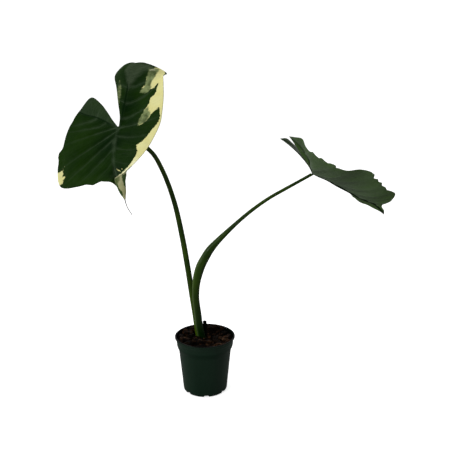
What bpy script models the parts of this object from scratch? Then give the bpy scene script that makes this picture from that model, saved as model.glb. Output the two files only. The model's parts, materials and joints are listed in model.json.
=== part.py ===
"""Potted xanthosoma: two arrow-shaped leaves on long petioles, in a plastic nursery pot.

Metres, +Z up, the origin at the middle of the pot's underside.
The plant is seen from -Y: the variegated left leaf hangs with its upper face towards the viewer,
and the right leaf is held out sideways, so that its underside shows.
Sizes and places below are millimetres.
"""

import math
import random

import bmesh
import bpy
import numpy as np
from mathutils import Matrix, Vector, noise

MM = 0.001
GAP = 0.3

# Pot: a round nursery pot, 105 mm across the rim
POT_HEIGHT = 98.0
RIM_RADIUS = 52.5
WALL = 1.2
LIP_HEIGHT = 2.6
BAND_TOP_RADIUS = 50.4
BAND_FOOT_RADIUS = 48.6
BAND_FOOT = POT_HEIGHT - 20.5
BODY_TOP_RADIUS = 45.8
BODY_TOP = BAND_FOOT - 3.0
BODY_FOOT_RADIUS = 38.6
FOOT_ROUND = 2.4
POT_STEPS = 42
DRAINS = 7
DRAIN_TURN = math.radians(5)
DRAIN_WIDTH = 9.0
DRAIN_HEIGHT = 4.0
DRAIN_REACH = 10.0

# Potting mix, and the corm that stands in it
MIX_LEVEL = 92.5
MIX_LUMP = 2.6
MIX_RINGS = 7
MIX_STEPS = 36
CHIPS = 16
GOLDEN_TURN = math.radians(137.5)
CORM_AXIS = (-5.0, 0.5)
CORM_RADIUS = 17.0
CORM_HEIGHT = 34.0
CORM_RINGS = 5
CROWN_LEVEL = 80.0
CROWN_RADIUS = 13.5

# Petioles: centre points from below the crown up, each with its radius
PETIOLE_SIDES = 12
RIGHT_PETIOLE = [
    ((-2, -3, 76), 6.0),
    ((-6, -3, 94), 6.2),
    ((-9, -3.5, 110), 6.2),
    ((-12, -4, 139), 6.2),
    ((-15, -5, 170), 6.0),
    ((-14, -5, 192), 6.4),
    ((-10, -5, 213), 7.1),
    ((-6, -5, 225), 7.3),
    ((1, -5, 239), 7.0),
    ((9.6, -6, 253), 6.5),
    ((21, -6, 266.5), 5.5),
    ((34, -7, 280), 4.5),
    ((48.5, -7, 294), 3.6),
    ((82, -7, 323), 3.0),
    ((108, -7, 341.5), 2.8),
    ((134, -6, 356.4), 2.7),
    ((160, -6, 371), 2.5),
    ((190, -5, 388), 2.5),
]
LEFT_PETIOLE = [
    ((-9, 6, 76), 5.0),
    ((-11.5, 6, 96), 5.1),
    ((-15, 6, 120), 5.2),
    ((-17.5, 7, 138), 5.1),
    ((-21.5, 8, 164), 5.0),
    ((-29.5, 9, 221), 4.9),
    ((-38.5, 9, 277), 4.7),
    ((-50, 7, 333), 4.2),
    ((-58, 5, 360), 4.0),
    ((-68, 1, 387), 3.85),
    ((-82, -5, 414), 3.65),
    ((-97, -10, 429), 3.5),
    ((-111, -16, 441), 3.4),
    ((-124, -24, 451), 3.3),
    ((-142, -37, 463), 3.3),
]
# The open side of the right petiole's sheath
SHEATH_CHANNEL = [
    ((-16, 3, 118), 3.4),
    ((-21.5, 0, 172), 3.6),
    ((-15.5, -1.5, 215), 4.3),
    ((-3.5, -2, 242), 4.0),
    ((7, -3.5, 256), 2.6),
    ((19, -4, 270), 1.0),
]
OLD_PETIOLE = [((2, 8, 76), 3.2), ((0.8, 8, 100), 3.0), ((0, 8, 120.5), 2.8)]

# Blades. A midrib runs from the leaf's tip to its heart, where the petiole joins, and the rib of
# each basal lobe runs on from the heart. The rows are (middle, margin, height of a side vein):
# one for each later point of the midrib, then one for each point of the lobe's rib but the last.
# Behind each lobe rib lies the flap up to the sinus, in rows of (middle, margin).
# RIB_SHARES are a rib's height at the tip, near the heart, at the heart and at the lobe's tip.
# An edge lists (row, pull): how far the margin is drawn in there, or stands out if negative.
BLADE = 0.8
RIB_HEIGHT = 1.8
RIB_REACH = 0.12
RIB_SHARES = (0.3, 1, 0.4, 0.1)
PUFF = 1.2
LINE_SPACING = 11.0
VEIN_SHOULDER = 0.16
ACROSS = (0, 0.05, 0.12, 0.3, 0.5, 0.7, 0.87, 1)
ACROSS_FLAP = (0, 0.15, 0.5, 0.8, 1)

LEFT_FACING = (-0.2, -0.78, 0.59)
LEFT_MIDRIB = [
    (-114, -88, 351),
    (-118, -83, 362),
    (-124, -78, 373),
    (-128, -76, 382),
    (-132, -70, 394),
    (-135, -62, 408),
    (-136, -52, 423),
    (-136, -43, 436),
    (-134, -36, 447),
    (-132, -32, 453),
    (-131, -30, 456),
]
LEFT_ROWS = [
    ((-120, -86, 361), (-121, -89, 361), 0),
    ((-125.5, -84, 372), (-125, -90, 371), 0),
    ((-131, -83, 379), (-132, -90, 377), 0),
    ((-139, -79, 386), (-145, -86, 378), 0),
    ((-151, -74, 390), (-165, -84, 373), 0.8),
    ((-164, -67, 395), (-190, -80, 368), 0),
    ((-176, -60, 403), (-214, -72, 368), 1.0),
    ((-179, -51, 420), (-221, -60, 392), 0),
    ((-177, -40, 439), (-216, -44, 424), 1.0),
    ((-173, -31, 453), (-213, -30, 446), 0),
    ((-180, -25, 459), (-211, -26, 453), 0),
    ((-186, -21, 465), (-209, -22, 459), 0),
    ((-191, -17, 470), (-206, -18, 465), 0),
    ((-196, -14, 475), (-203, -14, 472), 0),
]
LEFT_LOBE_RIB = [(-145, -25, 461), (-157, -21, 467), (-170, -17, 472), (-184, -14, 475), (-198, -10, 480)]
LEFT_FLAP = [
    ((-143, -24, 464), (-141, -22, 467)),
    ((-154, -17, 474), (-151, -13, 480)),
    ((-167, -10, 483), (-163, -2, 493)),
    ((-182, -3, 490.5), (-179, 7.5, 503.5)),
]
LEFT_EDGE = [
    (4.0, 0),
    (4.25, 1.5),
    (4.45, 0),
    (4.75, -3),
    (4.95, -1),
    (5.4, 3.5),
    (5.8, 2),
    (6.4, 0),
    (8.3, 0),
    (8.5, -2),
    (8.66, -5),
    (8.86, -6),
    (9.0, -1),
    (9.15, 0),
]
RIGHT_ROWS = [
    ((-113, -88, 364), (-121, -92, 362), 0),
    ((-113.5, -87, 379), (-125, -93, 373), 0),
    ((-112, -86, 389), (-127, -94, 383), 0),
    ((-114, -80, 397), (-114, -92, 391), 0),
    ((-117, -72, 406), (-99, -80, 405), 0),
    ((-109, -56, 425), (-81, -60, 428), 0.8),
    ((-104, -44, 440), (-72, -50, 445), 0),
    ((-99, -36, 455), (-64, -42, 464), 1.0),
    ((-96, -28, 470), (-61, -34, 486), 0),
    ((-96, -20, 484), (-60, -26, 505), 0.8),
    ((-94, -12, 498), (-61, -16, 524), 0),
    ((-93, -4, 515), (-62, -2, 538), 0.8),
    ((-92, 7, 533), (-58, 12, 541), 0),
    ((-92, 16, 552), (-67, 20, 548), 0),
    ((-96, 22, 559), (-84, 28, 554), 0),
]
HOOD_RIB = [(-127, -24, 471), (-124, -15, 490), (-120, -4, 513), (-117, 7, 538), (-111, 17, 557.5), (-101, 32, 555)]
HOOD_FLAP = [
    ((-128.5, -23.7, 470), (-130, -23.5, 469)),
    ((-130, -14, 493), (-134, -12, 495)),
    ((-130, -3, 517), (-138, 0, 518)),
    ((-130, 8, 541.5), (-142, 12, 538)),
    ((-121, 19, 558.5), (-130, 24, 553.5)),
]
TAIL = [((-116.5, -86, 359), 0.9), ((-114, -88, 350), 0.7), ((-111.5, -88, 341), 0.55), ((-104.5, -87, 328), 0.5)]

RIGHT_FACING = (0.4, 0.07, 0.91)
RIGHT_MIDRIB = [
    (300, -5, 314),
    (287, -5, 328),
    (280, -5, 333),
    (267, -5, 338),
    (254, -5, 344),
    (240, -5, 352),
    (221, -5, 362),
    (203, -5, 372),
    (188, -5, 378),
    (179, -5, 382),
]
NEAR_ROWS = [
    ((289.5, -9, 328.5), (292.5, -14, 329), 0),
    ((289, -22, 336), (299.3, -40.5, 342.5), 0),
    ((283, -32, 344), (300, -56, 356), 0),
    ((269, -40, 350), (283, -68, 365), 0.9),
    ((252, -46, 363), (263, -79, 381), 0),
    ((231, -50, 375), (241, -87, 396), 1.0),
    ((207, -50, 380), (213, -90, 395), 0),
    ((189, -48, 388), (191, -84, 404), 1.0),
    ((175, -43, 395), (171, -74, 415), 0),
    ((166, -40, 412), (158, -60, 428), 0),
    ((158, -39, 426), (153, -51, 440), 0),
    ((146, -40, 437), (143, -43, 442), 0),
]
NEAR_RIB = [(175, -14, 397), (167, -25, 413), (153, -34, 430), (135, -38, 443)]
NEAR_FLAP = [
    ((172, -12, 398), (170, -10, 398)),
    ((162, -21, 414), (157, -17, 414)),
    ((150, -31, 429), (147, -27, 428)),
]
NEAR_EDGE = [
    (0.0, 0),
    (0.5, -1.5),
    (1.0, 0),
    (3.7, 1),
    (3.95, 2.5),
    (4.2, 0),
    (4.45, 2.5),
    (4.6, -2),
    (4.8, 2),
    (4.95, -1.5),
    (5.18, 3.5),
    (5.3, -4),
    (5.55, -3.5),
    (5.9, 0),
    (6.1, 1),
    (6.5, -1),
    (7.4, 0),
    (7.6, 2),
    (7.66, -3.5),
    (7.8, -4),
    (8.0, -2.5),
    (8.15, 0.5),
    (8.35, -1),
    (8.5, -3.5),
    (8.62, -4),
    (8.76, -0.5),
    (9.0, -1.5),
    (9.2, -4),
    (9.32, -4.5),
    (9.43, -1),
    (9.65, 1),
    (9.9, 0),
]
FAR_ROWS = [
    ((291, 1, 324), (294, 6, 318), 0),
    ((285, 7, 328), (289, 18, 320), 0),
    ((275, 14, 333), (281, 31, 324), 0),
    ((264, 21, 337), (273, 45, 326), 0.9),
    ((252, 29, 346), (262, 60, 335), 0),
    ((236, 38, 361), (247, 79, 355), 1.0),
    ((213, 43, 375), (221, 90, 375), 0),
    ((195, 41, 386), (199, 86, 390), 1.0),
    ((183, 37, 393), (183, 78, 402), 0),
    ((173, 38, 408), (170, 68, 416), 0),
    ((160, 39, 421), (153, 58, 428), 0),
    ((145, 38, 432), (141, 48, 437), 0),
]
FAR_RIB = [(173, 5, 396), (163, 16, 411), (148, 28, 425), (129, 38, 437)]
FAR_FLAP = [
    ((172, 2, 396), (171, 0, 395)),
    ((161, 11, 411), (159, 7, 410)),
    ((147, 23, 425), (145, 18, 424)),
]
FAR_EDGE = [
    (4.4, 0),
    (4.7, 2),
    (4.9, -2),
    (5.2, 2.5),
    (5.5, -2),
    (5.8, 1),
    (6.5, 0),
    (6.8, 2.5),
    (7.1, -2),
    (7.5, 0),
    (8.1, 2),
    (8.4, -2.5),
    (8.7, 1),
    (9.4, 0),
]


def clear_scene():
    for found in list(bpy.data.objects):
        bpy.data.objects.remove(found)


def new_collection(name):
    made = bpy.data.collections.new(name)
    bpy.context.scene.collection.children.link(made)
    return made


def make_material(name, colour, roughness):
    made = bpy.data.materials.new(name)
    made.use_nodes = True
    shader = made.node_tree.nodes["Principled BSDF"]
    shader.inputs["Base Color"].default_value = (*colour, 1)
    shader.inputs["Roughness"].default_value = roughness
    shader.inputs["Metallic"].default_value = 0
    return made


def place(name, mesh, collection):
    made = bpy.data.objects.new(name, mesh)
    collection.objects.link(made)
    return made


def finish(piece, material):
    piece.data.materials.clear()
    piece.data.materials.append(material)
    piece.data.shade_smooth()
    piece.data.set_sharp_from_angle(angle=math.radians(38))


def frozen(piece, weld=0.01):
    """Replaces `piece` by a plain mesh object of its evaluated shape, with its seams welded."""
    bpy.context.view_layer.update()
    graph = bpy.context.evaluated_depsgraph_get()
    mesh = bpy.data.meshes.new_from_object(piece.evaluated_get(graph))
    shape = bmesh.new()
    shape.from_mesh(mesh)
    bmesh.ops.remove_doubles(shape, verts=shape.verts, dist=weld * MM)
    bmesh.ops.recalc_face_normals(shape, faces=shape.faces)
    shape.to_mesh(mesh)
    shape.free()
    name, matrix, collection = piece.name, piece.matrix_world.copy(), piece.users_collection[0]
    bpy.data.objects.remove(piece)
    made = place(name, mesh, collection)
    made.matrix_world = matrix
    return made


def combine(piece, others, operation, solver="EXACT"):
    """Joins or subtracts the closed meshes `others`, which are then removed."""
    group = bpy.data.collections.new("operands")
    for other in others:
        group.objects.link(other)
    step = piece.modifiers.new(operation.lower(), "BOOLEAN")
    step.operation = operation
    step.operand_type = "COLLECTION"
    step.collection = group
    step.solver = solver
    made = frozen(piece, weld=0.0)
    for other in others:
        bpy.data.objects.remove(other)
    bpy.data.collections.remove(group)
    return made


def turned(name, profile, steps, collection, centre=(0, 0)):
    """A solid of revolution: `profile` is (radius, height) from the top, down the outer side."""
    mesh = bpy.data.meshes.new(name)
    points = [(radius * MM, 0, height * MM) for radius, height in profile]
    mesh.from_pydata(points, [(i, i + 1) for i in range(len(points) - 1)], [])
    made = place(name, mesh, collection)
    made.location = (centre[0] * MM, centre[1] * MM, 0)
    screw = made.modifiers.new("turn", "SCREW")
    screw.steps = screw.render_steps = steps
    screw.use_merge_vertices = True
    screw.merge_threshold = 0.00001
    return frozen(made)


def arc(centre, radius, start, end, count):
    """Points on an arc of a turned profile, from `start` to `end` degrees."""
    turns = [math.radians(start + (end - start) * i / count) for i in range(count + 1)]
    return [(centre[0] + radius * math.cos(a), centre[1] + radius * math.sin(a)) for a in turns]


def smooth_through(points, gaps):
    """A smooth curve through `points`, sampled at the fractions that `gaps` lists for each gap."""
    points = np.asarray(points, float)
    ring = np.vstack([2 * points[0] - points[1], points, 2 * points[-1] - points[-2]])
    lengths = np.maximum(np.linalg.norm(np.diff(ring, axis=0), axis=1), 1e-6)
    slopes = np.diff(ring, axis=0) / lengths[:, None]
    made = []
    for i, fractions in enumerate(gaps):
        before, gap, after = lengths[i : i + 3]
        leave = (slopes[i] * gap + slopes[i + 1] * before) / (before + gap) * gap
        reach = (slopes[i + 1] * after + slopes[i + 2] * gap) / (gap + after) * gap
        for f in fractions:
            start = (2 * f**3 - 3 * f**2 + 1) * points[i] + (f**3 - 2 * f**2 + f) * leave
            end = (3 * f**2 - 2 * f**3) * points[i + 1] + (f**3 - f**2) * reach
            made.append(start + end)
    made.append(points[-1])
    return np.array(made)


def stalk(name, stations, collection, grow=0.0, sides=PETIOLE_SIDES, pitch=12.0):
    """A tapered tube through `stations`; `grow` fattens it where it cuts a clearance."""
    gaps = []
    for (here, _), (there, _) in zip(stations, stations[1:]):
        count = max(1, round(math.dist(here, there) / pitch))
        gaps.append([i / count for i in range(count)])
    line = smooth_through([(*centre, radius) for centre, radius in stations], gaps)
    curve = bpy.data.curves.new(name, "CURVE")
    curve.dimensions = "3D"
    curve.bevel_depth = MM
    curve.bevel_resolution = (sides - 4) // 2
    curve.use_fill_caps = True
    spline = curve.splines.new("POLY")
    spline.points.add(len(line) - 1)
    for point, (x, y, z, radius) in zip(spline.points, line):
        point.co = (x * MM, y * MM, z * MM, 1)
        point.radius = radius + grow
    return frozen(place(name, curve, collection))


def trim(piece, point, normal):
    """Cuts `piece` flat at a plane, dropping the side that `normal` points to."""
    shape = bmesh.new()
    shape.from_mesh(piece.data)
    made = bmesh.ops.bisect_plane(
        shape,
        geom=shape.verts[:] + shape.edges[:] + shape.faces[:],
        plane_co=Vector(point) * MM,
        plane_no=Vector(normal),
        clear_outer=True,
        dist=1e-7,
    )
    rim = [part for part in made["geom_cut"] if isinstance(part, bmesh.types.BMEdge)]
    bmesh.ops.contextual_create(shape, geom=rim)
    bmesh.ops.recalc_face_normals(shape, faces=shape.faces)
    shape.to_mesh(piece.data)
    shape.free()


def pot_inside():
    """The inner wall from the floor up, as (radius, height)."""
    return [
        (BODY_FOOT_RADIUS - WALL - 2, WALL),
        (BODY_FOOT_RADIUS - WALL, WALL + 2),
        (BODY_TOP_RADIUS - WALL, BODY_TOP),
        (BAND_FOOT_RADIUS - WALL, BAND_FOOT + 1),
        (BAND_TOP_RADIUS - WALL, POT_HEIGHT - LIP_HEIGHT),
    ]


def make_pot(collection, cutters):
    profile = [(0, WALL)] + pot_inside()
    profile += [(RIM_RADIUS - 2.6, POT_HEIGHT - 0.5), (RIM_RADIUS - 2.1, POT_HEIGHT)]
    profile += arc((RIM_RADIUS - 1, POT_HEIGHT - 1), 1, 90, 0, 3)
    profile += [
        (RIM_RADIUS, POT_HEIGHT - LIP_HEIGHT + 0.4),
        (RIM_RADIUS - 0.5, POT_HEIGHT - LIP_HEIGHT),
        (BAND_TOP_RADIUS, POT_HEIGHT - LIP_HEIGHT - 0.3),
        (BAND_FOOT_RADIUS, BAND_FOOT + 0.6),
        (BAND_FOOT_RADIUS - 0.6, BAND_FOOT - 0.4),
        (BODY_TOP_RADIUS + 0.5, BODY_TOP + 0.8),
        (BODY_TOP_RADIUS, BODY_TOP),
    ]
    profile += arc((BODY_FOOT_RADIUS - FOOT_ROUND, FOOT_ROUND), FOOT_ROUND, 0, -90, 3)
    profile += [(0, 0)]
    pot = turned("pot", profile, POT_STEPS, collection)
    return combine(pot, [drain_cutter(i, cutters) for i in range(DRAINS)], "DIFFERENCE")


def drain_cutter(index, collection):
    """A low arch that passes out through the pot's bottom edge."""
    shape = bmesh.new()
    bmesh.ops.create_cone(
        shape, cap_ends=True, segments=12, radius1=DRAIN_WIDTH / 2, radius2=DRAIN_WIDTH / 2, depth=DRAIN_REACH
    )
    turn = Matrix.Rotation(DRAIN_TURN + math.tau * index / DRAINS, 4, "Z")
    out = Matrix.Translation((0, -BODY_FOOT_RADIUS + DRAIN_REACH / 4, 0))
    flatten = Matrix.Diagonal((1, 1, 2 * DRAIN_HEIGHT / DRAIN_WIDTH, 1))
    lay = Matrix.Rotation(math.pi / 2, 4, "X")
    bmesh.ops.transform(shape, matrix=Matrix.Scale(MM, 4) @ turn @ out @ flatten @ lay, verts=shape.verts)
    mesh = bpy.data.meshes.new(f"drain_cutter_{index}")
    shape.to_mesh(mesh)
    shape.free()
    return place(mesh.name, mesh, collection)


def corm_profile(grow=0.0):
    """The corm: a stout tuber with leaf-scar rings and a flat crown."""
    profile = [(0, CROWN_LEVEL + grow), (CROWN_RADIUS + grow, CROWN_LEVEL + grow)]
    bumps = CORM_RINGS * 2
    for i in range(bumps + 1):
        share = i / bumps
        swell = CORM_RADIUS * math.sin(math.pi * (0.32 + 0.5 * share))
        ridge = 0.7 * (i % 2)
        profile.append((swell + ridge + grow, CROWN_LEVEL - 3 - (CORM_HEIGHT - 9) * share))
    foot = CROWN_LEVEL - CORM_HEIGHT
    return profile + [(CORM_RADIUS / 3 + grow, foot + 1.5 - grow), (0, foot - grow)]


def mix_height(x, y):
    """Height of the potting mix's lumpy top at a place."""
    lump = MIX_LUMP * noise.fractal(Vector((x / 11, y / 11, 0.6)), 1.0, 2.0, 3)
    off_stem = math.dist((x, y), CORM_AXIS)
    mound = 4.0 * math.exp(-((off_stem / 17) ** 2))
    hollow = 4.0 * math.exp(-((math.dist((x, y), (14, 8)) / 9) ** 2))
    return MIX_LEVEL + lump + mound - hollow


def make_mix(collection, cutters):
    """Potting mix that fills the pot, its top lumpy with bark chips, with plain holes for the plant."""
    sides = [(radius - GAP, height) for radius, height in reversed(pot_inside())]
    low, high = sides[1], sides[0]
    share = (MIX_LEVEL - low[1]) / (high[1] - low[1])
    edge = low[0] + (high[0] - low[0]) * share
    profile = [(edge * i / MIX_RINGS, MIX_LEVEL) for i in range(MIX_RINGS + 1)]
    profile += sides[1:-1] + [(sides[-1][0], WALL + GAP), (0, WALL + GAP)]
    mix = turned("potting_mix", profile, MIX_STEPS, collection)
    for vert in mix.data.vertices:
        x, y, z = vert.co / MM
        if z > MIX_LEVEL - 1 and math.hypot(x, y) < edge - 1:
            vert.co.z = mix_height(x, y) * MM
    draw = random.Random(7)
    mix = combine(mix, [bark_chip(i, draw, edge, cutters) for i in range(CHIPS)], "UNION", "MANIFOLD")
    rooms = [
        turned("corm_room", corm_profile(GAP), 20, cutters, CORM_AXIS),
        stalk("left_hole", LEFT_PETIOLE[:4], cutters, grow=GAP),
        stalk("right_hole", RIGHT_PETIOLE[:4], cutters, grow=GAP),
        stalk("old_hole", OLD_PETIOLE, cutters, grow=GAP, sides=10),
    ]
    return combine(mix, rooms, "DIFFERENCE", "MANIFOLD")


def bark_chip(index, draw, edge, collection):
    """A rough block of bark, half sunk in the top of the mix."""
    shape = bmesh.new()
    bmesh.ops.create_cube(shape, size=1)
    for vert in shape.verts:
        vert.co += Vector([draw.uniform(-0.14, 0.14) for _ in range(3)])
    bmesh.ops.triangulate(shape, faces=shape.faces)
    size = (draw.uniform(6, 12), draw.uniform(3.5, 7), draw.uniform(2.4, 4.2))
    reach = (edge - 8) * math.sqrt((index + 1) / CHIPS)
    turn = index * GOLDEN_TURN
    x, y = reach * math.cos(turn), reach * math.sin(turn)
    lean = Matrix.Rotation(draw.uniform(-0.45, 0.45), 4, "X") @ Matrix.Rotation(draw.uniform(-0.35, 0.35), 4, "Y")
    spin = Matrix.Rotation(draw.uniform(0, math.pi), 4, "Z")
    at = Matrix.Translation((x, y, mix_height(x, y) + draw.uniform(-0.6, 0.5)))
    scale = Matrix.Diagonal((*size, 1))
    bmesh.ops.transform(shape, matrix=Matrix.Scale(MM, 4) @ at @ spin @ lean @ scale, verts=shape.verts)
    mesh = bpy.data.meshes.new(f"bark_chip_{index}")
    shape.to_mesh(mesh)
    shape.free()
    return place(mesh.name, mesh, collection)


def line_fractions(spans, veined, edges, first):
    """Where mesh lines cross each gap between rows: evenly, beside raised veins and at edge points."""
    gaps = []
    for i, span in enumerate(spans):
        count = max(1, round(span / LINE_SPACING))
        wanted = [k / count for k in range(count)]
        if count > 1:
            wanted += [VEIN_SHOULDER] * veined[i] + [1 - VEIN_SHOULDER] * veined[i + 1]
        wanted += [row - first - i for row, _ in edges if 0 < row - first - i < 1]
        kept = [0.0]
        for fraction in sorted(wanted):
            if 0.05 < fraction - kept[-1] and fraction < 0.96:
                kept.append(fraction)
        gaps.append(kept)
    return gaps


def sheet(shape, rib_line, rows, gaps, across, edge, ribs, facing):
    """Adds one smooth sheet, from a rib out to the rows' margins, with its thickness at each point."""
    lines = [rib_line] + [smooth_through([row[k] for row in rows], gaps) for k in (0, 1)]
    veins, places, bulge = [], [], []
    for i, gap in enumerate(gaps):
        for f in gap:
            veins.append(rows[i][2] if f == 0 and len(rows[i]) > 2 else 0)
            places.append(i + f)
            bulge.append(4 * f * (1 - f))
    veins.append(0)
    places.append(len(gaps))
    bulge.append(0)
    pulls = np.interp(places, [p for p, _ in edge], [v for _, v in edge], left=0, right=0) if edge else None
    grid = np.zeros((len(places), len(across), 3))
    for i in range(len(places)):
        first, middle, last = (line[i] for line in lines)
        reach = max(np.linalg.norm(last - first), 1e-6)
        for j, t in enumerate(across):
            if edge:
                t *= 1 - pulls[i] / reach * t * t
            grid[i, j] = (1 - t) * (1 - 2 * t) * first + 4 * t * (1 - t) * middle + t * (2 * t - 1) * last
    normals = np.cross(np.gradient(grid, axis=0), np.gradient(grid, axis=1))
    normals /= np.maximum(np.linalg.norm(normals, axis=2, keepdims=True), 1e-9)
    normals *= np.sign((normals @ np.array(facing)).sum())
    layer = shape.verts.layers.deform.verify()
    before = None
    for i, place_i in enumerate(places):
        line = []
        width = np.linalg.norm(grid[i, -1] - grid[i, 0])
        for j, t in enumerate(across):
            lift = PUFF * bulge[i] * math.sin(math.pi * t) * min(1, width / 60)
            vert = shape.verts.new(Vector(grid[i, j] + normals[i, j] * lift) * MM)
            rib_height = RIB_HEIGHT * np.interp(place_i, *ribs) * max(0, 1 - t / RIB_REACH)
            raised = max(rib_height, veins[i] * (1 - t) ** 0.8)
            vert[layer][0] = (BLADE + raised) / (BLADE + RIB_HEIGHT)
            line.append(vert)
        if before:
            for j in range(len(across) - 1):
                shape.faces.new((before[j], before[j + 1], line[j + 1], line[j]))
        before = line


def blade(name, midrib, sides, facing, collection):
    """A leaf blade: its upper face smooth, its ribs raised on the underside."""
    shape = bmesh.new()
    tip, heart = midrib[0], midrib[-1]
    turn = len(midrib) - 1
    full_rows = []
    for rib, rows, _, _ in sides:
        full_rows.append([(tip, tip, 0)] + rows + [(rib[-1], rib[-1], 0)])
    spans = [
        max(math.dist(rows[i][k], rows[i + 1][k]) for rows in full_rows for k in (0, 1)) for i in range(turn)
    ]
    veined = [any(rows[i][2] > 0 for rows in full_rows) for i in range(turn + 1)]
    midrib_gaps = line_fractions(spans, veined, sorted(sides[0][3] + sides[1][3]), 0)
    for (rib, _, flap, edge), rows in zip(sides, full_rows):
        lobe_rib = [heart] + rib
        lobe_rows = [(heart, heart)] + flap + [(rib[-1], rib[-1])]
        spans = []
        for i in range(len(rib)):
            outer = max(math.dist(rows[turn + i][k], rows[turn + i + 1][k]) for k in (0, 1))
            inner = math.dist(lobe_rows[i][1], lobe_rows[i + 1][1])
            spans.append(max(outer, inner))
        veined = [row[2] > 0 for row in rows[turn:]]
        lobe_gaps = line_fractions(spans, veined, edge, turn)
        rib_line = smooth_through(lobe_rib, lobe_gaps)
        whole_line = np.vstack([smooth_through(midrib, midrib_gaps)[:-1], rib_line])
        ribs = ([0, turn * 0.7, turn, turn + len(rib)], RIB_SHARES)
        sheet(shape, whole_line, rows, midrib_gaps + lobe_gaps, ACROSS, edge, ribs, facing)
        sheet(shape, rib_line, lobe_rows, lobe_gaps, ACROSS_FLAP, [], ([0, len(rib)], RIB_SHARES[2:]), facing)
    bmesh.ops.remove_doubles(shape, verts=shape.verts, dist=0.00002)
    bmesh.ops.triangulate(shape, faces=shape.faces)
    bmesh.ops.recalc_face_normals(shape, faces=shape.faces)
    shape.normal_update()
    mean = sum((face.normal * face.calc_area() for face in shape.faces), Vector())
    if mean.dot(Vector(facing)) < 0:
        bmesh.ops.reverse_faces(shape, faces=shape.faces)
    mesh = bpy.data.meshes.new(name)
    shape.to_mesh(mesh)
    shape.free()
    made = place(name, mesh, collection)
    made.vertex_groups.new(name="thickness")
    solid = made.modifiers.new("thickness", "SOLIDIFY")
    solid.thickness = (BLADE + RIB_HEIGHT) * MM
    solid.offset = -1
    solid.vertex_group = "thickness"
    return frozen(made)


def seat_petiole(petiole, leaf, heart, facing, cutters):
    """Cuts a petiole flat at the crown, and to the shape of the blade that it carries."""
    trim(petiole, (0, 0, CROWN_LEVEL + GAP), (0, 0, -1))
    under = BLADE + GAP
    trim(petiole, [spot - under * way for spot, way in zip(heart, facing)], facing)
    room = place("leaf_room", leaf.data.copy(), cutters)
    normals = [vert.normal.copy() for vert in room.data.vertices]
    for vert, normal in zip(room.data.vertices, normals):
        vert.co += normal * GAP * MM
    return combine(petiole, [room], "DIFFERENCE", "MANIFOLD")


def build():
    clear_scene()
    plant = new_collection("potted_xanthosoma")
    cutters = new_collection("cutters")
    cutters.hide_render = True

    finish(make_pot(plant, cutters), make_material("pot_plastic", (0.012, 0.03, 0.016), 0.42))
    finish(make_mix(plant, cutters), make_material("potting_mix", (0.02, 0.012, 0.008), 0.95))
    corm = turned("corm", corm_profile(), 20, plant, CORM_AXIS)
    finish(corm, make_material("corm_skin", (0.09, 0.05, 0.025), 0.85))

    petiole_green = make_material("petiole_green", (0.035, 0.09, 0.018), 0.5)
    left_petiole = stalk("petiole_left", LEFT_PETIOLE, plant)
    right_petiole = stalk("petiole_right", RIGHT_PETIOLE, plant)
    hollows = [
        stalk("left_clearance", LEFT_PETIOLE, cutters, grow=GAP),
        stalk("sheath_channel", SHEATH_CHANNEL, cutters),
    ]
    right_petiole = combine(right_petiole, hollows, "DIFFERENCE")
    old_petiole = stalk("old_petiole", OLD_PETIOLE, plant, sides=10)
    trim(old_petiole, (0, 0, CROWN_LEVEL + GAP), (0, 0, -1))
    finish(old_petiole, make_material("dry_petiole", (0.025, 0.03, 0.012), 0.8))

    leaf_green = make_material("leaf_green", (0.012, 0.03, 0.009), 0.45)
    left_side = (LEFT_LOBE_RIB, LEFT_ROWS, LEFT_FLAP, LEFT_EDGE)
    hood_side = (HOOD_RIB, RIGHT_ROWS, HOOD_FLAP, [])
    left_blade = blade("blade_left", LEFT_MIDRIB, (left_side, hood_side), LEFT_FACING, plant)
    left_blade = combine(left_blade, [stalk("tail", TAIL, cutters, sides=6, pitch=4)], "UNION")
    near_side = (NEAR_RIB, NEAR_ROWS, NEAR_FLAP, NEAR_EDGE)
    far_side = (FAR_RIB, FAR_ROWS, FAR_FLAP, FAR_EDGE)
    right_blade = blade("blade_right", RIGHT_MIDRIB, (near_side, far_side), RIGHT_FACING, plant)
    finish(left_blade, leaf_green)
    finish(right_blade, leaf_green)
    left_petiole = seat_petiole(left_petiole, left_blade, LEFT_MIDRIB[-1], LEFT_FACING, cutters)
    right_petiole = seat_petiole(right_petiole, right_blade, RIGHT_MIDRIB[-1], RIGHT_FACING, cutters)
    finish(left_petiole, petiole_green)
    finish(right_petiole, petiole_green)


build()
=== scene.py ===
"""Looks of the potted xanthosoma: two arrow-shaped leaves on long petioles, in a nursery pot.

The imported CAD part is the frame, in metres, with the part's front towards -Y.
Each CAD node but the hidden corm is replaced by a finer piece of the same shape.
Sizes and places below are millimetres, as in the part's source.
"""

import json
import math
import random

import bmesh
import bpy
import numpy as np
from mathutils import Matrix, Vector, noise

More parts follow.
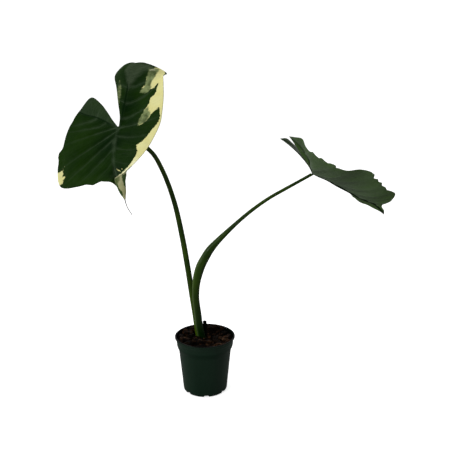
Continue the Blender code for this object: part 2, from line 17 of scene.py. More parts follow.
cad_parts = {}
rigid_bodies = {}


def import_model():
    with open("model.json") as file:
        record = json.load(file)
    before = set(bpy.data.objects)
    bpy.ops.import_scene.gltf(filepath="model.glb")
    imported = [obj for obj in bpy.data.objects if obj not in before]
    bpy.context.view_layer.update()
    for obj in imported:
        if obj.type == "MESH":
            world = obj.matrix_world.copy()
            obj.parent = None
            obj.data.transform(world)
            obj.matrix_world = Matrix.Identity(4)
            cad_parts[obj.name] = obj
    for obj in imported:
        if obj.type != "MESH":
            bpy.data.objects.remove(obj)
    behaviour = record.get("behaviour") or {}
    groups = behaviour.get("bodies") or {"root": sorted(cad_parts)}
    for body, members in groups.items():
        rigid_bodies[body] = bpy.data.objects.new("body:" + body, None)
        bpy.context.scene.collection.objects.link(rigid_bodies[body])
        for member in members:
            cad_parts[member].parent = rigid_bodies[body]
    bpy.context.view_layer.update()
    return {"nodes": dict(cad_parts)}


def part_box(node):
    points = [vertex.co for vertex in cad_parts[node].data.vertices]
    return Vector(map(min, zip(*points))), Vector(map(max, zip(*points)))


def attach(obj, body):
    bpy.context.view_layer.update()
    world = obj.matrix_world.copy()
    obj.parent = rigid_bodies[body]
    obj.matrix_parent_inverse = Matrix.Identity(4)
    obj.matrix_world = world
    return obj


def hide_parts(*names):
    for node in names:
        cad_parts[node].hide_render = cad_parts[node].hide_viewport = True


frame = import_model()
MM = 0.001
SCENE = bpy.context.scene

# Camera and light
CAMERA_AT = (35.2, -856.3, 468.3)
CAMERA_TILT = math.radians(78.55)
LENS = 41.6
FRONT_GLOW = 0.25
BACK_GLOW = 1.1
KEY_POWER = 18
FILL_POWER = 1.5
FLOOR_BOUNCE = (0.35, 0.35, 0.35)
FLOOR_GLOW = 0.62
FLOOR_HALF = 8.0
FLOOR_DROP = -0.0003
LIT_MIDDLE = Vector((0, 0, 0.3))

# Pot
POT_HEIGHT = 98.0
RIM_RADIUS = 52.5
WALL = 1.2
LIP_HEIGHT = 2.6
BAND_TOP_RADIUS = 50.4
BAND_FOOT_RADIUS = 48.6
BAND_FOOT = POT_HEIGHT - 20.5
BEAD_HEIGHT = 91.3
BODY_TOP_RADIUS = 45.8
BODY_TOP = BAND_FOOT - 3.0
BODY_FOOT_RADIUS = 38.6
FOOT_ROUND = 2.4
POT_STEPS = 144
DRAINS = 7
DRAIN_TURN = math.radians(5)
DRAIN_WIDTH = 9.0
DRAIN_HEIGHT = 4.0
DRAIN_REACH = 10.0

# Potting mix
MIX_LEVEL = 91.0
MIX_LUMP = 2.6
BARK_REACH = 47.0
MIX_EDGE = 48.6
MIX_RINGS = 80
MIX_STEPS = 220
MOUND_MIDDLE = (-6.0, -6.0)
MIX_HOLLOW = (12.0, 16.0)
BARK_SEED = 5

# Bare places in the litter: (x, y, radius) at the petioles' feet and in the hollow
LITTER_FREE = [(-7, -3, 8.5), (-12, 6, 7), (0.8, 8, 5), (*MIX_HOLLOW, 7.5)]

# Between pieces that the solids keep apart, and where points count as one
GAP = 0.3
MERGE = 0.00001

# Petioles: centre points from below the mix up, each with its radius
RIGHT_PETIOLE = [
    ((-1, -3, 76), 6.5),
    ((-5.2, -3, 94), 6.6),
    ((-8.6, -3.5, 110), 6.4),
    ((-12, -4, 139), 6.2),
    ((-15, -5, 170), 6.0),
    ((-14.2, -5, 192), 6.8),
    ((-10, -5, 213), 7.8),
    ((-6, -5, 225), 8.0),
    ((1, -5, 239), 7.6),
    ((9.6, -6, 253), 6.8),
    ((21, -6, 266.5), 5.5),
    ((34, -7, 280), 4.5),
    ((48.5, -7, 294), 3.6),
    ((82, -7, 323), 3.0),
    ((108, -7, 341.5), 2.8),
    ((134, -6, 356.4), 2.7),
    ((160, -6, 371), 2.5),
    ((190, -5, 388), 2.5),
]
LEFT_PETIOLE = [
    ((-9, 6, 76), 5.0),
    ((-11.5, 6, 96), 5.1),
    ((-15, 6, 120), 5.2),
    ((-17.5, 7, 138), 5.1),
    ((-21.5, 8, 164), 5.0),
    ((-29.5, 9, 221), 4.9),
    ((-38.5, 9, 277), 4.7),
    ((-50, 7, 333), 4.2),
    ((-58, 5, 360), 4.0),
    ((-68, 1, 387), 3.85),
    ((-82, -5, 414), 3.65),
    ((-97, -10, 429), 3.5),
    ((-111, -16, 441), 3.4),
    ((-124, -24, 451), 3.3),
    ((-142, -37, 463), 3.3),
]
SHEATH_CHANNEL = [
    ((-16, 3, 118), 3.4),
    ((-21.5, 0, 172), 3.6),
    ((-15.5, -1.5, 215), 4.3),
    ((-3.5, -2, 242), 4.0),
    ((7, -3.5, 256), 2.6),
    ((19, -4, 270), 1.0),
]
OLD_PETIOLE = [((1.4, 8, 76), 3.5), ((0.2, 8, 100), 3.3), ((-0.6, 8, 120.5), 3.1)]
# How far under a blade's heart its petiole is cut, and the sheath's least half opening in radians
PETIOLE_END = 1.2
SHEATH_OPENING = 0.16

# Blades. A rib is the line of points that the rows start from. A row is a point about half-way out, a point
# on the margin, and how strong a vein runs there, and a flap's row is the same two points. An edge lists
# (row, how many mm the margin is pulled in there).
BLADE = 0.8
MARGIN_THICKNESS = 0.35
RIB_HEIGHT = 1.8
RIB_SHARES = (0.3, 1, 0.4, 0.1)
PUFF = 1.2
LINE_SPACING = 1.7
COLUMNS = 44

LEFT_FACING = (-0.2, -0.78, 0.59)
LEFT_MIDRIB = [
    (-114, -88, 351),
    (-118, -83, 362),
    (-124, -78, 373),
    (-128, -76, 382),
    (-132, -70, 394),
    (-135, -62, 408),
    (-136, -52, 423),
    (-136, -43, 436),
    (-134, -36, 447),
    (-132, -32, 453),
    (-131, -30, 456),
]
LEFT_ROWS = [
    ((-120, -86, 361), (-121, -89, 361), 0),
    ((-125.5, -84, 372), (-125, -90, 371), 0),
    ((-131, -83, 379), (-132, -90, 377), 0),
    ((-139, -79, 386), (-145, -86, 378), 0),
    ((-151, -74, 390), (-165, -84, 373), 0.8),
    ((-164, -67, 395), (-190, -80, 368), 0),
    ((-176, -60, 403), (-214, -72, 368), 1.0),
    ((-179, -51, 420), (-221, -60, 392), 0),
    ((-177, -40, 439), (-216, -44, 424), 1.0),
    ((-173, -31, 453), (-213, -30, 446), 0),
    ((-180, -25, 459), (-211, -26, 453), 0),
    ((-186, -21, 465), (-209, -22, 459), 0),
    ((-191, -17, 470), (-206, -18, 465), 0),
    ((-196, -14, 475), (-203, -14, 472), 0),
]
LEFT_LOBE_RIB = [(-145, -25, 461), (-157, -21, 467), (-170, -17, 472), (-184, -14, 475), (-198, -10, 480)]
LEFT_FLAP = [
    ((-143, -24, 464), (-141, -22, 467)),
    ((-154, -17, 474), (-151, -13, 480)),
    ((-167, -10, 483), (-163, -2, 493)),
    ((-182, -3, 490.5), (-179, 7.5, 503.5)),
]
LEFT_EDGE = [
    (4.0, 0), (4.25, 1.5), (4.45, 0), (4.75, -3), (4.95, -1), (5.4, 3.5), (5.8, 2), (6.4, 0), (8.3, 0),
    (8.5, -2), (8.66, -5), (8.86, -6), (9.0, -1), (9.15, 0),
]
RIGHT_ROWS = [
    ((-113, -88, 364), (-121, -92, 362), 0),
    ((-113.5, -87, 379), (-125, -93, 373), 0),
    ((-112, -86, 389), (-127, -94, 383), 0),
    ((-114, -80, 397), (-114, -92, 391), 0),
    ((-117, -72, 406), (-99, -80, 405), 0),
    ((-109, -56, 425), (-81, -60, 428), 0.8),
    ((-104, -44, 440), (-72, -50, 445), 0),
    ((-99, -36, 455), (-64, -42, 464), 1.0),
    ((-96, -28, 470), (-61, -34, 486), 0),
    ((-96, -20, 484), (-60, -26, 505), 0.8),
    ((-94, -12, 498), (-61, -16, 524), 0),
    ((-93, -4, 515), (-62, -2, 538), 0.8),
    ((-92, 7, 533), (-58, 12, 541), 0),
    ((-92, 16, 552), (-67, 20, 548), 0),
    ((-96, 22, 559), (-84, 28, 554), 0),
]
HOOD_RIB = [
    (-127, -24, 471),
    (-124, -15, 490),
    (-120, -4, 513),
    (-117, 7, 538),
    (-111, 17, 557.5),
    (-101, 32, 555),
]
HOOD_FLAP = [
    ((-128.5, -23.7, 470), (-130, -23.5, 469)),
    ((-130, -14, 493), (-134, -12, 495)),
    ((-130, -3, 517), (-138, 0, 518)),
    ((-130, 8, 541.5), (-142, 12, 538)),
    ((-121, 19, 558.5), (-130, 24, 553.5)),
]
# The dry thread at the left leaf's tip: centre points, each with its radius
TAIL = [
    ((-116.5, -86, 359), 0.9),
    ((-114, -88, 350), 0.7),
    ((-111.5, -88, 341), 0.55),
    ((-104.5, -87, 328), 0.5),
]

RIGHT_FACING = (0.4, 0.07, 0.91)
RIGHT_MIDRIB = [
    (300, -5, 314),
    (287, -5, 328),
    (280, -5, 333),
    (267, -5, 338),
    (254, -5, 344),
    (240, -5, 352),
    (221, -5, 362),
    (203, -5, 372),
    (188, -5, 378),
    (179, -5, 382),
]
NEAR_ROWS = [
    ((289.5, -9, 328.5), (292.5, -14, 329), 0),
    ((289, -22, 336), (299.3, -40.5, 342.5), 0),
    ((283, -32, 344), (300, -56, 356), 0),
    ((269, -40, 350), (283, -68, 365), 0.9),
    ((252, -46, 363), (263, -79, 381), 0),
    ((231, -50, 375), (241, -87, 396), 1.0),
    ((207, -50, 380), (213, -90, 395), 0),
    ((189, -48, 388), (191, -84, 404), 1.0),
    ((175, -43, 395), (171, -74, 415), 0),
    ((166, -40, 412), (158, -60, 428), 0),
    ((158, -39, 426), (153, -51, 440), 0),
    ((146, -40, 437), (143, -43, 442), 0),
]
NEAR_RIB = [(175, -14, 397), (167, -25, 413), (153, -34, 430), (135, -38, 443)]
NEAR_FLAP = [
    ((172, -12, 398), (170, -10, 398)),
    ((162, -21, 414), (157, -17, 414)),
    ((150, -31, 429), (147, -27, 428)),
]
NEAR_EDGE = [
    (0.0, 0), (0.5, -1.5), (1.0, 0), (3.7, 1), (3.95, 2.5), (4.2, 0), (4.45, 2.5), (4.6, -2), (4.8, 2),
    (4.95, -1.5), (5.18, 3.5), (5.3, -4), (5.55, -3.5), (5.9, 0), (6.1, 1), (6.5, -1), (7.4, 0),
    (7.6, 2), (7.66, -3.5), (7.8, -4), (8.0, -2.5), (8.15, 0.5), (8.35, -1), (8.5, -3.5), (8.62, -4),
    (8.76, -0.5), (9.0, -1.5), (9.2, -4), (9.32, -4.5), (9.43, -1), (9.65, 1), (9.9, 0),
]
FAR_ROWS = [
    ((291, 1, 324), (294, 6, 318), 0),
    ((285, 7, 328), (289, 18, 320), 0),
    ((275, 14, 333), (281, 31, 324), 0),
    ((264, 21, 337), (273, 45, 326), 0.9),
    ((252, 29, 346), (262, 60, 335), 0),
    ((236, 38, 361), (247, 79, 355), 1.0),
    ((213, 43, 375), (221, 90, 375), 0),
    ((195, 41, 386), (199, 86, 390), 1.0),
    ((183, 37, 393), (183, 78, 402), 0),
    ((173, 38, 408), (170, 68, 416), 0),
    ((160, 39, 421), (153, 58, 428), 0),
    ((145, 38, 432), (141, 48, 437), 0),
]
FAR_RIB = [(173, 5, 396), (163, 16, 411), (148, 28, 425), (129, 38, 437)]
FAR_FLAP = [
    ((172, 2, 396), (171, 0, 395)),
    ((161, 11, 411), (159, 7, 410)),
    ((147, 23, 425), (145, 18, 424)),
]
FAR_EDGE = [
    (4.4, 0), (4.7, 2), (4.9, -2), (5.2, 2.5), (5.5, -2), (5.8, 1), (6.5, 0), (6.8, 2.5), (7.1, -2),
    (7.5, 0), (8.1, 2), (8.4, -2.5), (8.7, 1), (9.4, 0),
]

# Veins. SWEEP lists (row, how many rows the vein there has moved towards the tip on its way out) and TURN
# is the share of the way out over which most of that happens.
LEFT_VEINS = (3.6, 4.9, 6.2, 7.4, 8.66, 10.3, 11.6, 12.83)
LEFT_SWEEP = [(0, 0), (5, 0.1), (6.2, 0.22), (8.7, 0.95), (10.3, 1.45), (12.8, 1.0), (14.5, 0)]
HOOD_VEINS = (3.7, 5.0, 6.3, 7.8, 9.45, 10.9, 12.2, 13.2)
HOOD_SWEEP = [(0, 0), (5, 0.2), (6.3, 0.45), (9.4, 1.2), (12, 0.8), (13.5, 0.3), (15.5, 0)]
NEAR_VEINS = (1.6, 2.9, 4.1, 5.4, 6.6, 7.8, 9.0, 10.2, 11.4)
NEAR_SWEEP = [(0, 0), (2, 1.2), (5, 3.0), (8, 2.9), (10, 2.0), (12, 1.2), (13, 0.8)]
FAR_VEINS = (1.4, 2.7, 4.0, 5.3, 6.6, 7.8, 9.0, 10.2, 11.4)
FAR_SWEEP = [(0, 0), (2, 1.0), (5, 2.4), (8, 2.4), (10, 1.8), (12, 1.0), (13, 0.6)]
LEFT_TURN = 0.25
RIGHT_TURN = 0.55

# Variegation: outlines of (row, share of the way to the margin). Rows lie about ROW_STEP mm apart, and the
# way to the margin is about REACH mm.
ROW_STEP = 13.0
REACH = 62.0
HOOD_GREEN = [
    (3.1, 0), (3.3, 0.12), (3.67, 0.39), (4.1, 0.65), (4.5, 0.8), (5.0, 0.83), (5.4, 0.82),
    (5.75, 0.76), (6.0, 0.69), (6.3, 0.6), (6.4, 0.66), (6.6, 0.74), (7.1, 0.8), (7.55, 0.845),
    (7.75, 0.87), (8.1, 0.95), (8.6, 0.95), (9.0, 0.93), (9.22, 0.89), (9.13, 0.82), (9.0, 0.71),
    (8.75, 0.67), (8.6, 0.62), (8.42, 0.56), (8.3, 0.48), (8.6, 0.46), (8.9, 0.47), (9.3, 0.51),
    (9.55, 0.56), (9.8, 0.55), (9.95, 0.6), (10.05, 0.62), (10.1, 0.67), (10.4, 0.68), (10.65, 0.69),
    (10.55, 0.76), (10.75, 0.82), (11.1, 0.825), (11.45, 0.875), (11.55, 0.84), (11.4, 0.78),
    (11.5, 0.7), (11.75, 0.61), (12.1, 0.5), (12.35, 0.4), (12.4, 0.53), (12.6, 0.55), (12.9, 0.5),
    (13.1, 0.54), (13.6, 0.56), (13.7, 0.68), (14.0, 0.85), (14.2, 1.05), (16.2, 1.05), (16.2, -0.05),
    (3.1, -0.05),
]
HOOD_CORNER_GREEN = [(12.6, 0.97), (13.1, 0.955), (13.4, 0.965), (13.45, 1.06), (12.5, 1.06)]
CURLED_EDGE = [(3.85, 0.88), (4.2, 0.92), (4.5, 0.94), (4.7, 0.96), (4.75, 1.06), (3.7, 1.06)]
HOOD_HALF_TONES = [
    [
        (8.35, 0.46), (8.45, 0.58), (8.7, 0.66), (9.1, 0.71), (9.3, 0.69), (9.45, 0.66), (9.9, 0.645),
        (9.8, 0.56), (9.3, 0.5), (8.9, 0.45),
    ],
    [
        (11.5, 0.58), (11.7, 0.68), (12.1, 0.66), (12.6, 0.7), (13.1, 0.76), (13.8, 0.88), (13.8, 0.56),
        (13.1, 0.52), (12.3, 0.5), (12.1, 0.38),
    ],
    [(2.2, 0.93), (2.5, 0.87), (2.95, 0.86), (3.1, 0.84), (3.1, 1.06), (2.2, 1.06)],
]
FRONT_GREENS = [
    [(0.7, 0.88), (0.95, 0.81), (1.25, 0.9), (1.6, 0.955), (2.4, 0.955), (2.6, 1.06), (0.5, 1.06)],
    [(1.3, 0.5), (1.55, 0.67), (2.0, 0.73), (2.6, 0.77), (3.12, 0.8), (3.12, 0.5)],
]
FRONT_STREAKS = [
    [(4.08, 0.08), (3.92, 0.135), (3.7, 0.185), (3.6, 0.18), (3.78, 0.115), (3.98, 0.07)],
    [(4.0, 0.28), (3.92, 0.315), (3.82, 0.31), (3.9, 0.25)],
]
CORNER_CREAM = [
    (7.16, 1.1), (7.14, 0.985), (7.1, 0.955), (7.2, 0.93), (7.32, 0.915), (7.37, 0.885), (7.44, 0.92),
    (7.62, 0.91), (7.78, 0.895), (7.94, 0.86), (7.87, 0.93), (7.86, 1.1),
]
FOLD_CREAM = [(2.9, -0.1), (2.95, 0.2), (3.02, 0.3), (3.08, 0.15), (3.12, -0.1)]
FRONT_PALE = [(-1, -0.1), (2.2, -0.1), (2.2, 1.1), (-1, 1.1)]
FLAP_PALE = [
    (11.9, 0.8), (12.3, 0.6), (12.5, 0.47), (13.0, 0.5), (13.5, 0.58), (13.5, 0.63), (13.2, 0.72),
    (12.9, 0.86), (12.6, 1.04), (12.2, 1.04),
]
# Painted sheen in bands: greyish on the green, nearly white on the cream
HOOD_SHEEN_BANDS = [
    [
        (3.05, 0), (3.3, 0.14), (3.67, 0.43), (4.1, 0.7), (4.5, 0.84), (4.65, 0.95), (4.3, 0.93),
        (3.95, 0.9), (3.3, 0.78), (3.0, 0.1),
    ],
    [(4.85, 0.86), (5.15, 0.86), (5.3, 1.06), (4.8, 1.06)],
    [
        (12.8, -0.1), (13.2, 0.08), (13.5, 0.22), (13.65, 0.4), (13.65, 0.72), (14.3, 0.62),
        (14.7, 0.3), (15.2, -0.1),
    ],
]
HOOD_FLAP_SHEEN_BANDS = [[(13.3, -0.1), (13.5, 0.08), (13.9, 0.2), (14.2, 0.36), (14.8, 0.24), (15.5, -0.1)]]
# Painted sheen, where a blade's green turns paler: (row, share)
HOOD_SHEEN = [(11.8, 0), (13.4, 0.12), (15.5, 0.25)]
HOOD_FLAP_SHEEN = [(11.5, 0), (13.5, 0.15)]
LEFT_FLAP_SHEEN = [(10.2, 0.2), (11, 0.5)]
NEAR_SHEEN = [(0, 0.0), (1, 0.25), (4, 0.6), (9, 0.8), (12, 0.65)]
# On a flap a half tone is fainter: it counts as no farther inside its outline than this
FLAP_TONE_DEPTH = 0.0

# Leaf faces: colours are linear. The groove colour is painted shadow beside the raised ribs, and the shades
# are how dark that painted shadow is. The vein colour is also the painted sheen's colour on the green, the
# near-white one is the painted sheen bands' colour on the cream, and vein_sheen_share is how strong the
# painted sheen beside the veins is.
UPPER_LOOKS = {
    "dark": (0.0012, 0.0125, 0.0008),
    "mid": (0.008, 0.03, 0.0),
    "vein": (0.042, 0.068, 0.034),
    "groove": (0.0012, 0.0125, 0.0008),
    "rib_shade": 0.0,
    "lobe_shade": 0.8,
    "rib_shade_width": 0.9,
    "cream": (0.81, 0.765, 0.325),
    "pale_cream": (0.83, 0.8, 0.375),
    "sage": (0.64, 0.75, 0.33),
    "sheen_on_cream": (0.9, 0.9, 0.62),
    "vein_sheen_share": 0.62,
    "roughness": 0.42,
    "specular": 0.03,
    "relief": 0.35,
}
UNDER_LOOKS = {
    "vein": (0.125, 0.155, 0.115),
    "cream": (0.5, 0.5, 0.25),
    "pale_cream": (0.6, 0.6, 0.34),
    "sage": (0.48, 0.5, 0.22),
    "sheen_on_cream": (0.85, 0.87, 0.6),
    "vein_sheen_share": 0.35,
    "roughness": 0.6,
    "specular": 0.08,
    "relief": 0.3,
}
LEFT_UNDER_LOOKS = {
    **UNDER_LOOKS,
    "dark": (0.05, 0.088, 0.034),
    "mid": (0.056, 0.11, 0.022),
    "groove": (0.014, 0.032, 0.007),
    "rib_shade": 0.7,
    "lobe_shade": 0.6,
    "rib_shade_width": 0.9,
}
RIGHT_UNDER_LOOKS = {
    **UNDER_LOOKS,
    "dark": (0.064, 0.108, 0.044),
    "mid": (0.051, 0.113, 0.015),
    "groove": (0.003, 0.014, 0.0005),
    "rib_shade": 1.0,
    "lobe_shade": 0.4,
    "rib_shade_width": 3.4,
}

# Bark: (x, y, length, width, thickness, spin in degrees, lean in degrees, shade from dark to pale).
# The shade is partly painted light: the pieces that catch the light were given paler shades.
BARK_PIECES = [
    (-32, 20, 18, 13, 10, 20, 14, 0.75),
    (-34, -8, 18, 12, 8, -25, -14, 0.6),
    (-27, -27, 16, 10, 7, 35, 12, 0.3),
    (-12, -21, 17, 10, 7, -20, 16, 0.5),
    (4, -22, 19, 10, 7, 15, -16, 0.75),
    (-6, -37, 15, 9, 6, 5, 14, 0.25),
    (11, -38, 14, 9, 6, -15, 12, 0.5),
    (22, -14, 17, 8, 6, -50, 22, 0.35),
    (33, -6, 18, 8, 6, -35, 20, 0.6),
    (27, -29, 17, 9, 7, 30, -16, 0.85),
    (40, -17, 14, 8, 6, 70, 12, 0.95),
    (41, 6, 14, 8, 6, 80, -16, 0.6),
    (11, 40, 17, 10, 9, -12, 14, 0.5),
    (27, 36, 15, 10, 9, -35, -12, 0.6),
    (33, 21, 13, 8, 6, 60, 10, 0.2),
    (-7, 38, 15, 10, 9, 8, -12, 0.2),
    (-22, 39, 15, 10, 9, 30, 12, 0.3),
    (-42, 7, 14, 9, 7, 85, 12, 0.35),
    (-41, -18, 12, 8, 6, -60, 10, 0.5),
    (-24, 6, 13, 8, 7, 60, -14, 0.2),
    (17, 3, 12, 8, 5, 40, 14, 0.3),
]


def node(tree, kind, inputs=None, **settings):
    """Adds one node; `inputs` maps a socket's name or number to a value or to the socket that feeds it."""
    made = tree.nodes.new(kind)
    for key, value in settings.items():
        setattr(made, key, value)
    for key, value in (inputs or {}).items():
        if isinstance(value, bpy.types.NodeSocket):
            tree.links.new(value, made.inputs[key])
        else:
            made.inputs[key].default_value = value
    return made


def end_tree(tree, made, skin, out):
    """Ends a geometry tree: real geometry, with its material."""
    real = node(tree, "GeometryNodeRealizeInstances", {"Geometry": made}).outputs[0]
    skinned = node(tree, "GeometryNodeSetMaterial", {"Geometry": real, "Material": skin})
    tree.links.new(skinned.outputs[0], out)


def new_group(name, kind, inputs, outputs):
    """A node group with named sockets: each of `inputs` is (name, socket kind, value or None)."""
    tree = bpy.data.node_groups.new(name, kind)
    for label, socket_kind, value in inputs:
        socket = tree.interface.new_socket(label, in_out="INPUT", socket_type=f"NodeSocket{socket_kind}")
        if value is not None:
            socket.default_value = value
    for label, socket_kind in outputs:
        tree.interface.new_socket(label, in_out="OUTPUT", socket_type=f"NodeSocket{socket_kind}")
    return tree, tree.nodes.new("NodeGroupInput").outputs, tree.nodes.new("NodeGroupOutput").inputs


def maths(tree, operation, *values):
    """What one Math node makes of its values."""
    return node(tree, "ShaderNodeMath", dict(enumerate(values)), operation=operation).outputs[0]


def times(tree, first, *others):
    """The product of two or more values."""
    for other in others:
        first = maths(tree, "MULTIPLY", first, other)
    return first


def ramp(tree, value, start, end, low=0.0, high=1.0, shape="LINEAR"):
    """`value` carried over from start..end to low..high, and held at both ends."""
    given = {"Value": value, "From Min": start, "From Max": end, "To Min": low, "To Max": high}
    return node(tree, "ShaderNodeMapRange", given, interpolation_type=shape).outputs[0]


def plain_noise(tree, vector, scale, detail):
    """Noise from 0 to 1."""
    given = {"Vector": vector, "Scale": scale, "Detail": detail}
    return node(tree, "ShaderNodeTexNoise", given).outputs[0]


def stretched(tree, vector, scales):
    """A vector with each of its numbers multiplied by its own scale."""
    return node(tree, "ShaderNodeVectorMath", {0: vector, 1: scales}, operation="MULTIPLY").outputs[0]


def axes(tree, vector):
    """The three numbers of a vector."""
    return node(tree, "ShaderNodeSeparateXYZ", {0: vector}).outputs


def blend_colours(tree, share, first, second):
    """Mixes two colours; each is a socket or a linear (r, g, b)."""
    first, second = (c if isinstance(c, bpy.types.NodeSocket) else (*c, 1) for c in (first, second))
    return node(tree, "ShaderNodeMix", {0: share, 6: first, 7: second}, data_type="RGBA").outputs[2]


def attribute(tree, name, output="Fac"):
    """A value that the piece's own mesh carries."""
    return node(tree, "ShaderNodeAttribute", attribute_name=name).outputs[output]


def place(name, mesh):
    """Puts a mesh or curve into the scene as an object at the origin."""
    made = bpy.data.objects.new(name, mesh)
    SCENE.collection.objects.link(made)
    return made


def carry(mesh, key, given, kind="FLOAT", domain="POINT"):
    """Stores values on a mesh as an attribute, which its finish reads."""
    layer = mesh.attributes.new(key, kind, domain)
    field = "value" if kind == "FLOAT" else "vector"
    layer.data.foreach_set(field, np.array(given, np.float32).ravel())


def faces_out(mesh, merge=0.0):
    """Joins a closed mesh's points that lie within `merge` and turns its faces outwards."""
    shape = bmesh.new()
    shape.from_mesh(mesh)
    if merge:
        bmesh.ops.remove_doubles(shape, verts=shape.verts, dist=merge)
    bmesh.ops.recalc_face_normals(shape, faces=shape.faces)
    shape.to_mesh(mesh)
    shape.free()


def frozen(piece):
    """Replaces `piece` by a plain mesh object of its evaluated shape, at the origin."""
    bpy.context.view_layer.update()
    graph = bpy.context.evaluated_depsgraph_get()
    mesh = bpy.data.meshes.new_from_object(piece.evaluated_get(graph))
    mesh.transform(piece.matrix_world)
    name = piece.name
    bpy.data.objects.remove(piece)
    return place(name, mesh)


def grown(piece, tree, values):
    """The mesh that a geometry node tree makes of `piece`, with its inputs set by name."""
    step = piece.modifiers.new(tree.name, "NODES")
    step.node_group = tree
    for item in tree.interface.items_tree:
        if item.in_out == "INPUT" and item.name in values:
            step[item.identifier] = values[item.name]
    return frozen(piece)


def hand_over(piece, slot, *nodes, smooth=True):
    """Sets a finished piece on the frame: on the root body, with the CAD nodes it stands for hidden; `slot`
    is not used.
    """
    if smooth:
        piece.data.shade_smooth()
    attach(piece, "root")
    if nodes:
        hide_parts(*nodes)


def smooth_through(points, gaps):
    """A smooth curve through `points`, sampled at the fractions that `gaps` lists for each gap."""
    points = np.asarray(points, float)
    ring = np.vstack([2 * points[0] - points[1], points, 2 * points[-1] - points[-2]])
    lengths = np.maximum(np.linalg.norm(np.diff(ring, axis=0), axis=1), 1e-6)
    slopes = np.diff(ring, axis=0) / lengths[:, None]
    made = []
    for i, fractions in enumerate(gaps):
        before, gap, after = lengths[i : i + 3]
        leave = (slopes[i] * gap + slopes[i + 1] * before) / (before + gap) * gap
        reach = (slopes[i + 1] * after + slopes[i + 2] * gap) / (gap + after) * gap
        for f in fractions:
            start = (2 * f**3 - 3 * f**2 + 1) * points[i] + (f**3 - 2 * f**2 + f) * leave
            end = (3 * f**2 - 2 * f**3) * points[i + 1] + (f**3 - f**2) * reach
            made.append(start + end)
    made.append(points[-1])
    return np.array(made)


def stem_line(stations, pitch):
    """Points (x, y, z, radius) along a stem, about `pitch` apart."""
    gaps = []
    for (here, _), (there, _) in zip(stations, stations[1:]):
        count = max(1, round(math.dist(here, there) / pitch))
        gaps.append([i / count for i in range(count)])
    return smooth_through([(*centre, radius) for centre, radius in stations], gaps)


def soft_noise(points, size, seed):
    """Smooth noise from -1 to 1 at each point, with lumps about `size` across."""
    return np.array([noise.noise(Vector(p) / size + Vector((seed, 0, 0))) for p in points])


def line_fractions(spans, veined, edges, first):
    """Where mesh lines cross each gap between rows: evenly, close by veins and at edge points."""
    gaps = []
    for i, span in enumerate(spans):
        count = max(2, round(span / LINE_SPACING))
        wanted = [k / count for k in range(count)]
        for away in (0.45, 0.9, 1.5):
            wanted += [away / span] * veined[i] + [1 - away / span] * veined[i + 1]
        wanted += [row - first - i for row, _ in edges if 0 < row - first - i < 1]
        least = min(0.3 / span, 0.4 / count)
        kept = [0.0]
        for fraction in sorted(wanted):
            if least < fraction - kept[-1] and fraction < 1 - least:
                kept.append(fraction)
        gaps.append(kept)
    return gaps


